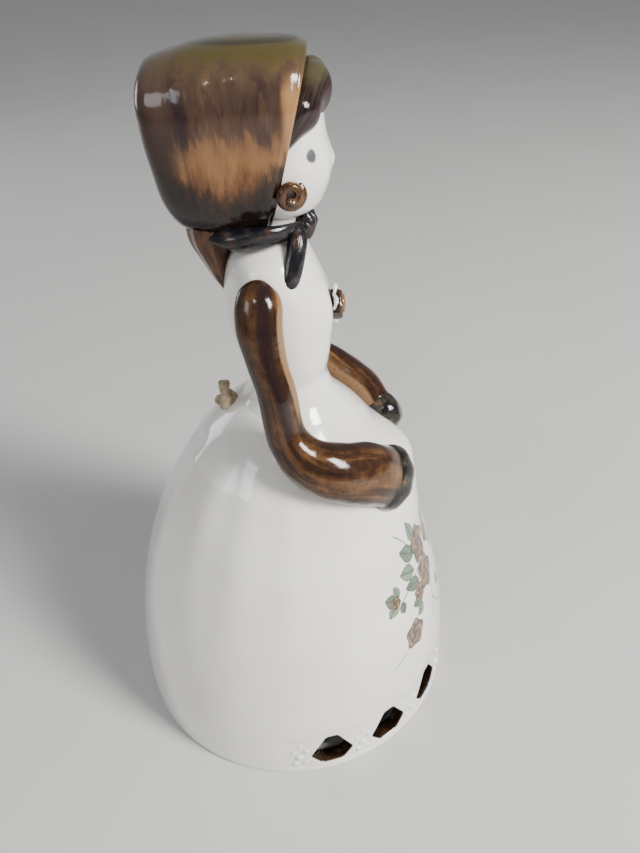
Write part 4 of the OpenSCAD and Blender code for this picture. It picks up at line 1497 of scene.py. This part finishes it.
def hand_mesh(side):
    """A mitten hand, four soft fingers marked in it, held at the lap."""
    rows = smooth_rows(arm_rows(), 2)
    cuff = tube_rings(rows, ARM_N)[-1]
    middle = sum(cuff, Vector()) / ARM_N
    out = (middle - Vector(rows[-2][:3]) * MM).normalized()
    law = [[-0.1, 0.84], [0, 0.95], [0.18, 1.06], [0.5, 1.1], [0.78, 0.97],
           [0.93, 0.74], [1, 0.42]]
    rings = []
    for at, grow in smooth_rows(law, 5):
        ring = []
        for i, p in enumerate(cuff):
            u = i / ARM_N
            fingers = 0.05 * ease(at, 0.35, 0.75) * (
                0.5 + 0.5 * math.cos(TURN * 8 * u)) * ease(abs(u - 0.5), 0.02, 0.1)
            ring.append(middle + (p - middle) * (grow - fingers)
                        + out * at * HAND_LONG * MM)
        rings.append(ring)
    bm = loft(round_end(rings, 0.3 * MM, 4))
    return bm if side == "right" else mirrored(bm)


# ---------- corsage ----------


def rose_mesh():
    """An open rose: three rings of lapped petals round a tight bud."""
    low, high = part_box("corsage_rose")
    middle = Vector((low.x, 0, (low.z + high.z) / 2))
    profile = [(0, 3.3), (0.5, 3.35), (0.8, 3.0), (1.05, 2.75), (1.3, 3.05), (1.6, 3.2),
               (1.85, 2.85), (2.05, 2.55), (2.3, 2.75), (2.6, 2.65), (2.85, 2.1),
               (2.9, 1.2), (2.7, 0.2), (0, 0)]
    bm = bmesh.new()
    chain = [bmesh.ops.create_vert(bm, co=mm(h, r, 0))["vert"][0]
             for r, h in smooth_rows(profile, 4)]
    edges = [bm.edges.new(pair) for pair in zip(chain, chain[1:])]
    bmesh.ops.spin(bm, geom=chain + edges, cent=(0, 0, 0), axis=(1, 0, 0),
                   dvec=(0, 0, 0), angle=TURN, steps=72, use_merge=True)
    bmesh.ops.remove_doubles(bm, verts=bm.verts, dist=0.002 * MM)
    band = bm.verts.layers.float.new("band")
    for v in bm.verts:
        angle, reach = math.atan2(v.co.z, v.co.y), math.hypot(v.co.y, v.co.z) / MM
        ring = ease(reach, 0.7, 1.3) + ease(reach, 1.7, 2.2)
        lobe = math.cos(5 * angle + 1.9 * ring)
        lap = (5 * angle + 1.9 * ring) % TURN / TURN
        v[band] = clamp(0.3 + 0.5 * (v.co.x / MM - 2.4) + 0.25 * lap) * ease(
            reach, 3.15, 2.7)
        if reach > 0.05:
            grow = 1 + 0.045 * lobe * ease(reach, 0.5, 1.5)
            v.co.y *= grow
            v.co.z *= grow
            v.co.x += (0.22 * lap - 0.1) * ease(reach, 0.5, 1.0) * MM * ease(
                v.co.x / MM, 0.5, 1.5)
    bmesh.ops.recalc_face_normals(bm, faces=bm.faces)
    bmesh.ops.translate(bm, verts=bm.verts, vec=middle)
    return bm


def leaves_mesh():
    """Four pointed petals behind the rose, cupped along their midrib."""
    low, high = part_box("corsage_rose")
    centre = Vector((low.x + 0.6 * MM, 0, (low.z + high.z) / 2))
    whole = bmesh.new()
    uv = whole.loops.layers.uv.new("UVMap")
    long_, wide = 12, 6
    for turned in (0, 55, 180, 305):
        grid = bmesh.ops.create_grid(whole, x_segments=long_, y_segments=wide,
                                     size=0.5)["verts"]
        spots = {v: (v.co.x + 0.5, 2 * v.co.y) for v in grid}
        for face in {f for v in grid for f in v.link_faces}:
            for corner in face.loops:
                s, t = spots[corner.vert]
                corner[uv].uv = (t * 0.5 + 0.5, s)
        for v, (s, t) in spots.items():
            half = 1.5 * math.sin(math.pi * min(1, 0.2 + 0.8 * s)) ** 0.6 + 0.1
            v.co = mm(0.35 * (1 - t * t) + 0.5 * s * s - 0.12 * hump(t, 0, 0.2),
                      half * t, 1.6 + 2.1 * s)
        bmesh.ops.rotate(whole, verts=grid, cent=(0, 0, 0),
                         matrix=Matrix.Rotation(math.radians(turned), 3, "X"))
    bmesh.ops.solidify(whole, geom=list(whole.faces), thickness=0.55 * MM)
    bmesh.ops.recalc_face_normals(whole, faces=whole.faces)
    bmesh.ops.translate(whole, verts=whole.verts, vec=centre)
    return whole


# ---------- twine and clapper ----------

TWINE_THICK = 2.2 * MM
TWINE_KNOT = 4.9 * MM         # across a knot
BEND = sum(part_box("cord_bend"), Vector()) / 2
HOLE_FOOT = BEND + mm(0, 0, 1.6)
HOLE_LEAN = 30                # degrees from upright
HOLE_Z = 79.5                 # height of its mouth in the skirt's back
LEAN = math.radians(HOLE_LEAN)
HOLE_RUN = Vector((math.sin(LEAN), 0, -math.cos(LEAN)))
HOLE_TOP = HOLE_FOOT - HOLE_RUN * mm(0, 0, HOLE_Z - CEILING_Z).z / math.cos(LEAN)
# The hanging twine's route, down from the bend, in metres
CORD_ROUTE = [(0, 0, -0.0012), (0, 0, -0.006), (0, 0, -0.012), (0, 0, -0.018),
              (0, 0, -0.024), (0, 0, -0.030), (0, 0, -0.036), (0, 0, -0.042),
              (0, 0, -0.048)]
CLAPPER_LOW, CLAPPER_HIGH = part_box("clapper")
CORD_END = CLAPPER_LOW.z - 0.0002
CORD_PATH = [BEND + Vector(p) for p in CORD_ROUTE] + [
    Vector((BEND.x, BEND.y, CORD_END))]


def filled(points, step):
    """Points along straight stretches, about a step apart."""
    made = []
    for a, b in zip(points, points[1:]):
        count = max(1, round((b - a).length / step))
        made += [a.lerp(b, j / count) for j in range(count)]
    return made + [points[-1]]


def twine_mesh(points, radius, blunt=0.3, n=24, fray=0.0):
    """A length of laid twine, its cut ends slightly domed."""
    rings = twine_rings(points, radius, sizes().twist, n=n)
    if fray:
        for k, ring in enumerate(rings):
            middle = sum(ring, Vector()) / n
            open_ = 1 + fray * ease(k / (len(rings) - 1), 0.5, 1)
            rings[k] = [middle + (p - middle) * open_ for p in ring]
    rings = round_end(round_end(rings, blunt * MM, 3), blunt * MM, 3, True)
    bm = loft(rings)
    twine_hollows(bm)
    return bm


def twine_hollows(bm):
    """Stores how near a point is to the top of its ply, as "band"."""
    layers = bm.verts.layers.float
    band = layers.new("band")
    along = layers["along"]
    rows = {}
    for v in bm.verts:
        rows.setdefault(round(v[along], 5), []).append(v)
    for row in rows.values():
        middle = sum((v.co for v in row), Vector()) / len(row)
        far = [(v.co - middle).length for v in row]
        low, high = min(far), max(far)
        for v, reach in zip(row, far):
            v[band] = (reach - low) / (high - low) if high - low > 1e-6 else 1.0


def trefoil(radius, height, n=150):
    """The closed run of an overhand knot."""
    made = []
    for k in range(n):
        a = TURN * k / n
        made.append(Vector((math.sin(a) + 2 * math.sin(2 * a),
                            math.cos(a) - 2 * math.cos(2 * a),
                            -math.sin(3 * a) * height)) * radius / 3)
    return made


def knot_of_twine(middle, across, lean):
    """An overhand knot pulled down to a nub."""
    strand = across * 0.235
    points = trefoil(across / 2 - strand * 0.85, 1.25)
    points = points + points[:1]
    rings = twine_rings(points, strand, sizes().twist * 1.3, n=20)
    bm = loft(rings, (False, False))
    twine_hollows(bm)
    bmesh.ops.remove_doubles(bm, verts=bm.verts, dist=0.05 * MM)
    bmesh.ops.rotate(bm, verts=bm.verts, cent=(0, 0, 0),
                     matrix=Matrix.Rotation(math.radians(lean), 3, "Y"))
    bmesh.ops.translate(bm, verts=bm.verts, vec=middle)
    return bm


def joined(*meshes):
    """Several bmeshes as one."""
    first = meshes[0]
    for other in meshes[1:]:
        mesh = bpy.data.meshes.new("part")
        other.to_mesh(mesh)
        other.free()
        first.from_mesh(mesh)
        bpy.data.meshes.remove(mesh)
    return first


def fibres(foot, down, length, count, spread):
    """Loose ends of fibre that spread below a cut end."""
    parts = []
    for k in range(count):
        a = TURN * k * 0.381966
        reach = spread * math.sqrt((k + 0.5) / count)
        side = Vector((math.cos(a), math.sin(a), 0))
        points = []
        for j in range(7):
            t = j / 6
            points.append(foot + side * MM * reach * (0.45 + 0.55 * t ** 1.4)
                          + down * length * t * (0.72 + 0.28 * math.cos(5 * a)))
        rings = []
        for j, (p, (u, v)) in enumerate(zip(points, carried(points))):
            thick = 0.26 * (1 - 0.55 * j / 6) * MM
            rings.append(ellipse_ring(p, u * thick, v * thick, 8))
        parts.append(loft(rings))
    bm = joined(*parts)
    band = bm.verts.layers.float.new("band")
    for v in bm.verts:
        v[band] = 0.8
    return bm


def clapper_mesh():
    """The ball, its bore's two mouths rounded over."""
    low, high = CLAPPER_LOW, CLAPPER_HIGH
    middle = (low + high) / 2
    radius = (high.x - low.x) / 2
    hole = sizes().clapper_hole / 2 * MM
    lip = 0.35 * MM
    top = math.sqrt(radius ** 2 - (hole + lip) ** 2)
    a0 = math.acos(top / radius)
    chain_points = [(radius * math.sin(a0 + (math.pi - 2 * a0) * k / 56),
                     radius * math.cos(a0 + (math.pi - 2 * a0) * k / 56))
                    for k in range(57)]
    roll = [(hole + lip * (1 - math.sin(math.radians(a))),
             -top + lip * (1 - math.cos(math.radians(a)))) for a in (30, 60, 90)]
    bore_ = [(hole, -top + lip + (2 * top - 2 * lip) * k / 10) for k in range(1, 10)]
    points = chain_points + roll + bore_ + [(r, -z) for r, z in reversed(roll)]
    bm = bmesh.new()
    chain = [bmesh.ops.create_vert(bm, co=(r, 0, z))["vert"][0] for r, z in points]
    edges = [bm.edges.new((a, b)) for a, b in zip(chain, chain[1:] + chain[:1])]
    bmesh.ops.spin(bm, geom=chain + edges, cent=(0, 0, 0), axis=(0, 0, 1),
                   dvec=(0, 0, 0), angle=TURN, steps=96, use_merge=True)
    bmesh.ops.recalc_face_normals(bm, faces=bm.faces)
    bmesh.ops.translate(bm, verts=bm.verts, vec=middle)
    return bm


# ---------- what a user would change ----------


def tint(name, default, about):
    return bpy.props.FloatVectorProperty(name=name, description=about, size=3,
                                         subtype="COLOR", min=0, max=1,
                                         default=default)


class BellColours(bpy.types.PropertyGroup):
    """Glaze and paint colours."""

    porcelain: tint("Porcelain", (0.82, 0.80, 0.76), "White body under clear glaze")
    porcelain_shade: tint("Porcelain shade", (0.77, 0.74, 0.69),
                          "Where the glaze lies thicker")
    rose: tint("Painted rose", (0.13, 0.062, 0.020), "Petals of the painted roses")
    rose_light: tint("Rose light", (0.27, 0.155, 0.066), "Petal tops")
    rose_dark: tint("Rose dark", (0.020, 0.009, 0.005), "Outlines of the petals")
    leaf: tint("Leaf", (0.090, 0.155, 0.085), "Painted leaves")
    leaf_dark: tint("Leaf dark", (0.022, 0.058, 0.034), "Shaded leaves")
    leaf_pale: tint("Leaf pale", (0.16, 0.26, 0.16), "Thinly painted leaves")
    leaf_line: tint("Leaf line", (0.010, 0.024, 0.014), "Veins and outlines")
    stem: tint("Stem", (0.13, 0.16, 0.11), "Painted stems")
    eye: tint("Eye", (0.035, 0.037, 0.043), "Painted eyes")
    lips: tint("Lips", (0.45, 0.18, 0.14), "Painted mouth")


class BellSizes(bpy.types.PropertyGroup):
    """Sizes of the finer work, in millimetres where a name doesn't say."""

    lip: bpy.props.FloatProperty(name="Lip", description="Rounding of the hem openings",
                                 default=0.45, min=0.1, max=0.9)
    border_depth: bpy.props.FloatProperty(
        name="Border depth", description="How far the hem border is sunk",
        default=0.28, min=0, max=0.8)
    border_height: bpy.props.FloatProperty(
        name="Border height", description="Height of the scalloped hem border",
        default=13.6, min=12, max=20)
    flute_depth: bpy.props.FloatProperty(
        name="Flute depth", description="Depth of the soft flutes at the back",
        default=0.30, min=0, max=1)
    paint_radius: bpy.props.FloatProperty(
        name="Paint radius", description="Skirt radius the spray was painted at",
        default=37, min=30, max=45)
    eye_half_width: bpy.props.FloatProperty(
        name="Eye half width", description="Half the width of a painted eye",
        default=0.78, min=0.3, max=2)
    eye_half_height: bpy.props.FloatProperty(
        name="Eye half height", description="Half the height of a painted eye",
        default=1.2, min=0.3, max=2)
    twist: bpy.props.FloatProperty(
        name="Twist", description="Turns of the twine's plies in a millimetre",
        default=0.16, min=0, max=0.5)
    clapper_hole: bpy.props.FloatProperty(
        name="Clapper hole", description="Diameter of the clapper's bore",
        default=2.7, min=2.3, max=4)


class BellStage(bpy.types.PropertyGroup):
    """Lights and camera."""

    key: bpy.props.FloatProperty(name="Key", description="Large soft light",
                                 default=17.0, min=0, subtype="POWER")
    fill: bpy.props.FloatProperty(name="Fill", description="Soft light from the left",
                                  default=1.5, min=0, subtype="POWER")
    spark: bpy.props.FloatProperty(name="Spark", description="Small hard light",
                                   default=0.8, min=0, subtype="POWER")
    sky: bpy.props.FloatProperty(name="Sky", description="Strength of the room's light",
                                 default=0.34, min=0, max=3)
    lens: bpy.props.FloatProperty(name="Lens", description="Focal length",
                                  default=29.1, min=10, subtype="DISTANCE_CAMERA")
    place: bpy.props.FloatVectorProperty(name="Camera", description="Camera's place",
                                         default=(0.009, -0.1234, 0.1627),
                                         subtype="TRANSLATION", unit="LENGTH")
    tip: bpy.props.FloatProperty(name="Tip", description="Camera's tilt up from down",
                                 default=math.radians(53.74), subtype="ANGLE")
    roll: bpy.props.FloatProperty(name="Roll", description="Camera's roll",
                                  default=math.radians(-2.31), subtype="ANGLE")


# ---------- operators ----------

FIGURE, BEND_BODY, HANGING = "figure", "twine_bend", "hanging_clapper"


def light(name, place, target, size, power, tone=(1, 1, 1), tall=None):
    lamp = bpy.data.lights.new(name, "AREA")
    lamp.energy, lamp.size, lamp.color = power, size, tone
    if tall:
        lamp.shape, lamp.size_y = "RECTANGLE", tall
    thing = bpy.data.objects.new(name, lamp)
    thing.location = place
    thing.rotation_euler = (Vector(target) - Vector(place)).to_track_quat(
        "-Z", "Y").to_euler()
    bpy.context.scene.collection.objects.link(thing)
    return thing


class BELL_OT_stage(bpy.types.Operator):
    """Floor, soft lights and camera"""

    bl_idname = "bell.stage"
    bl_label = "Stage"

    def execute(self, context):
        stage = context.scene.bell_stage
        world = bpy.data.worlds.new("room")
        context.scene.world = world
        world.use_nodes = True
        room = world.node_tree.nodes["Background"]
        room.inputs["Color"].default_value = (0.95, 0.97, 1.0, 1)
        room.inputs["Strength"].default_value = stage.sky
        bm = bmesh.new()
        bmesh.ops.create_grid(bm, x_segments=24, y_segments=24, size=6.0)
        mesh = bpy.data.meshes.new("floor")
        bm.to_mesh(mesh)
        bm.free()
        mesh.materials.append(finish("floor"))
        floor = bpy.data.objects.new("floor", mesh)
        context.scene.collection.objects.link(floor)
        floor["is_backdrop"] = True
        low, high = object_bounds()
        middle = (low + high) / 2
        light("key", (0.62, -0.38, 0.55), middle, 0.22, stage.key, (1, 0.98, 0.95), 0.4)
        light("fill", (-0.60, -0.45, 0.45), middle, 0.3, stage.fill, (0.93, 0.96, 1))
        light("spark", (-0.25, -0.75, 0.95), middle, 0.05, stage.spark, (1, 0.97, 0.9))
        light("rim", (-0.60, 0.40, 0.20), middle, 0.25, stage.fill / 2, (1, 1, 1))
        lens = bpy.data.cameras.new("camera")
        lens.lens, lens.sensor_width = stage.lens, 36
        lens.clip_start = 0.005
        camera = bpy.data.objects.new("camera", lens)
        turned = (Matrix.Rotation(stage.tip, 4, "X")
                  @ Matrix.Rotation(stage.roll, 4, "Z"))
        camera.matrix_world = Matrix.Translation(stage.place) @ turned
        context.scene.collection.objects.link(camera)
        context.scene.camera = camera
        return {"FINISHED"}


class BELL_OT_skirt(bpy.types.Operator):
    """The bell itself: hollow skirt, pierced hem, raised beads"""

    bl_idname = "bell.skirt"
    bl_label = "Skirt"

    def execute(self, context):
        skirt = piece("skirt", skirt_mesh(), finish("painted"), FIGURE,
                      ["skirt_shell"])
        bore(skirt, HOLE_TOP - HOLE_RUN * 0.008, HOLE_FOOT + HOLE_RUN * 0.006,
             TWINE_THICK / 2 + 0.25 * MM)
        piece("hem_beads", beads(), finish("porcelain"), FIGURE)
        return {"FINISHED"}


class BELL_OT_figure(bpy.types.Operator):
    """Bodice, neck and head"""

    bl_idname = "bell.figure"
    bl_label = "Bodice and head"

    def execute(self, context):
        white = finish("porcelain")
        piece("bodice", bodice_mesh(), white, FIGURE, ["bodice"], 1)
        piece("neck", neck_mesh(), white, FIGURE, ["neck"], 1)
        piece("head", head_mesh(), finish("face"), FIGURE, ["head"], 1)
        return {"FINISHED"}


class BELL_OT_bonnet(bpy.types.Operator):
    """Bonnet brim and crown"""

    bl_idname = "bell.bonnet"
    bl_label = "Bonnet"

    def execute(self, context):
        brown = finish("bonnet")
        piece("bonnet_brim", brim_mesh(), brown, FIGURE, ["bonnet_brim"], 1)
        piece("bonnet_crown", crown_mesh(), brown, FIGURE,
              ["bonnet_crown"], 1)
        return {"FINISHED"}


class BELL_OT_hair(bpy.types.Operator):
    """Fringe, nape and the two side curls"""

    bl_idname = "bell.hair"
    bl_label = "Hair"

    def execute(self, context):
        piece("hair_fringe", fringe_mesh(), finish("hair"), FIGURE,
              ["hair_fringe"], 1)
        piece("hair_nape", nape_mesh(), finish("nape"), FIGURE,
              ["hair_back"], 1)
        piece("curl_right", curl_mesh(), finish("curl"), FIGURE,
              ["side_curl_right"], 1)
        piece("curl_left", mirrored(curl_mesh()), finish("curl"), FIGURE,
              ["side_curl_left"], 1)
        return {"FINISHED"}


class BELL_OT_ribbon(bpy.types.Operator):
    """Bonnet ties, their knot and its two tails"""

    bl_idname = "bell.ribbon"
    bl_label = "Ribbon"

    def execute(self, context):
        dark = finish("ribbon")
        for side, turn in (("right", lambda bm: bm), ("left", mirrored)):
            piece("tie_" + side, turn(tie_mesh()), dark, FIGURE,
                  ["bonnet_tie_" + side], 1)
            piece("tail_" + side, turn(tail_mesh()), dark, FIGURE,
                  ["ribbon_tail_" + side], 1)
        piece("ribbon_bow", knot_mesh(), dark, FIGURE, ["ribbon_knot"], 1)
        return {"FINISHED"}


class BELL_OT_arms(bpy.types.Operator):
    """Sleeves and mitten hands"""

    bl_idname = "bell.arms"
    bl_label = "Arms"

    def execute(self, context):
        for side in ("right", "left"):
            piece("sleeve_" + side, sleeve_mesh(side), finish("sleeve"), FIGURE,
                  [side + "_sleeve"], 1)
            piece("hand_" + side, hand_mesh(side), finish("mitten"), FIGURE,
                  [side + "_hand"], 1)
        return {"FINISHED"}


class BELL_OT_corsage(bpy.types.Operator):
    """Rose and leaves pinned to the bodice"""

    bl_idname = "bell.corsage"
    bl_label = "Corsage"

    def execute(self, context):
        piece("corsage_bloom", rose_mesh(), finish("rose"), FIGURE,
              ["corsage_rose"])
        piece("corsage_petals", leaves_mesh(), finish("petal"), FIGURE,
              ["corsage_leaves"], 1)
        return {"FINISHED"}


class BELL_OT_twine(bpy.types.Operator):
    """Knotted twine, from the back of the skirt to the clapper"""

    bl_idname = "bell.twine"
    bl_label = "Twine and clapper"

    def execute(self, context):
        straw = finish("twine")
        radius = TWINE_THICK / 2
        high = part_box("outer_knot")[1]
        seat_at = HOLE_TOP - HOLE_RUN * 0.0011
        stub_end = Vector((seat_at.x, 0, high.z - 0.0003))
        stub = filled([seat_at + mm(0, 0, 0.4), stub_end], 0.0004)
        outer = joined(knot_of_twine(seat_at, TWINE_KNOT, -HOLE_LEAN),
                       twine_mesh(stub, radius * 1.06, 0.2, fray=0.12))
        piece("twine_knot", outer, straw, FIGURE, ["outer_knot"])
        passing = filled([HOLE_TOP - HOLE_RUN * 0.001, HOLE_FOOT,
                          BEND + mm(0, 0, 1.15)], 0.0005)
        piece("twine_in_hole", twine_mesh(passing, radius * 0.98), straw, FIGURE,
              ["cord_in_hole"])
        bend = filled([BEND + mm(0, 0, 1.1), BEND - mm(0, 0, 1.1)], 0.0004)
        piece("twine_bend", twine_mesh(bend, radius * 0.96, 0.1), straw, BEND_BODY,
              ["cord_bend"])
        ball = piece("clapper_ball", clapper_mesh(), finish("clapper"), HANGING,
                     ["clapper"])
        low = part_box("clapper_knot")[0]
        knot_at = Vector((BEND.x, 0, CORD_END - 0.0021))
        ends = filled([knot_at - mm(0, 0, 1.2), Vector((BEND.x, 0, low.z + 0.0016))],
                      0.0004)
        lower = joined(knot_of_twine(knot_at, TWINE_KNOT, 0),
                       twine_mesh(ends, radius * 0.98, 0.1, fray=0.06),
                       fibres(Vector((BEND.x, 0, low.z + 0.0022)),
                              Vector((0, 0, -1)), 0.0020, 22, 1.05))
        stop = piece("twine_stop", lower, straw, HANGING, ["clapper_knot"])
        hanging = piece("twine_hanging",
                        twine_mesh(filled(CORD_PATH, 0.0005), radius, 0.0), straw,
                        HANGING, ["clapper_cord"])
        return {"FINISHED"}


OPERATORS = (BELL_OT_stage, BELL_OT_twine, BELL_OT_skirt, BELL_OT_figure,
             BELL_OT_bonnet, BELL_OT_hair, BELL_OT_ribbon, BELL_OT_arms,
             BELL_OT_corsage)
GROUPS = (("bell_colours", BellColours), ("bell_sizes", BellSizes),
          ("bell_stage", BellStage))


class BELL_PT_panel(bpy.types.Panel):
    """Sizes, colours and the pieces to make"""

    bl_idname = "BELL_PT_panel"
    bl_label = "Porcelain Lady Bell"
    bl_space_type = "VIEW_3D"
    bl_region_type = "UI"
    bl_category = "Bell"

    def draw(self, context):
        for name, group in GROUPS:
            box = self.layout.box()
            for key in group.__annotations__:
                box.prop(getattr(context.scene, name), key)
        for operator in OPERATORS:
            self.layout.operator(operator.bl_idname)


def register():
    for name, group in GROUPS:
        bpy.utils.register_class(group)
        setattr(bpy.types.Scene, name, bpy.props.PointerProperty(type=group))
    for kind in (*OPERATORS, BELL_PT_panel):
        bpy.utils.register_class(kind)


def unregister():
    for kind in reversed((*OPERATORS, BELL_PT_panel)):
        bpy.utils.unregister_class(kind)
    for name, group in reversed(GROUPS):
        delattr(bpy.types.Scene, name)
        bpy.utils.unregister_class(group)


def main():
    register()
    for operator in OPERATORS:
        group, name = operator.bl_idname.split(".")
        getattr(getattr(bpy.ops, group), name)()


if __name__ == "__main__":
    main()
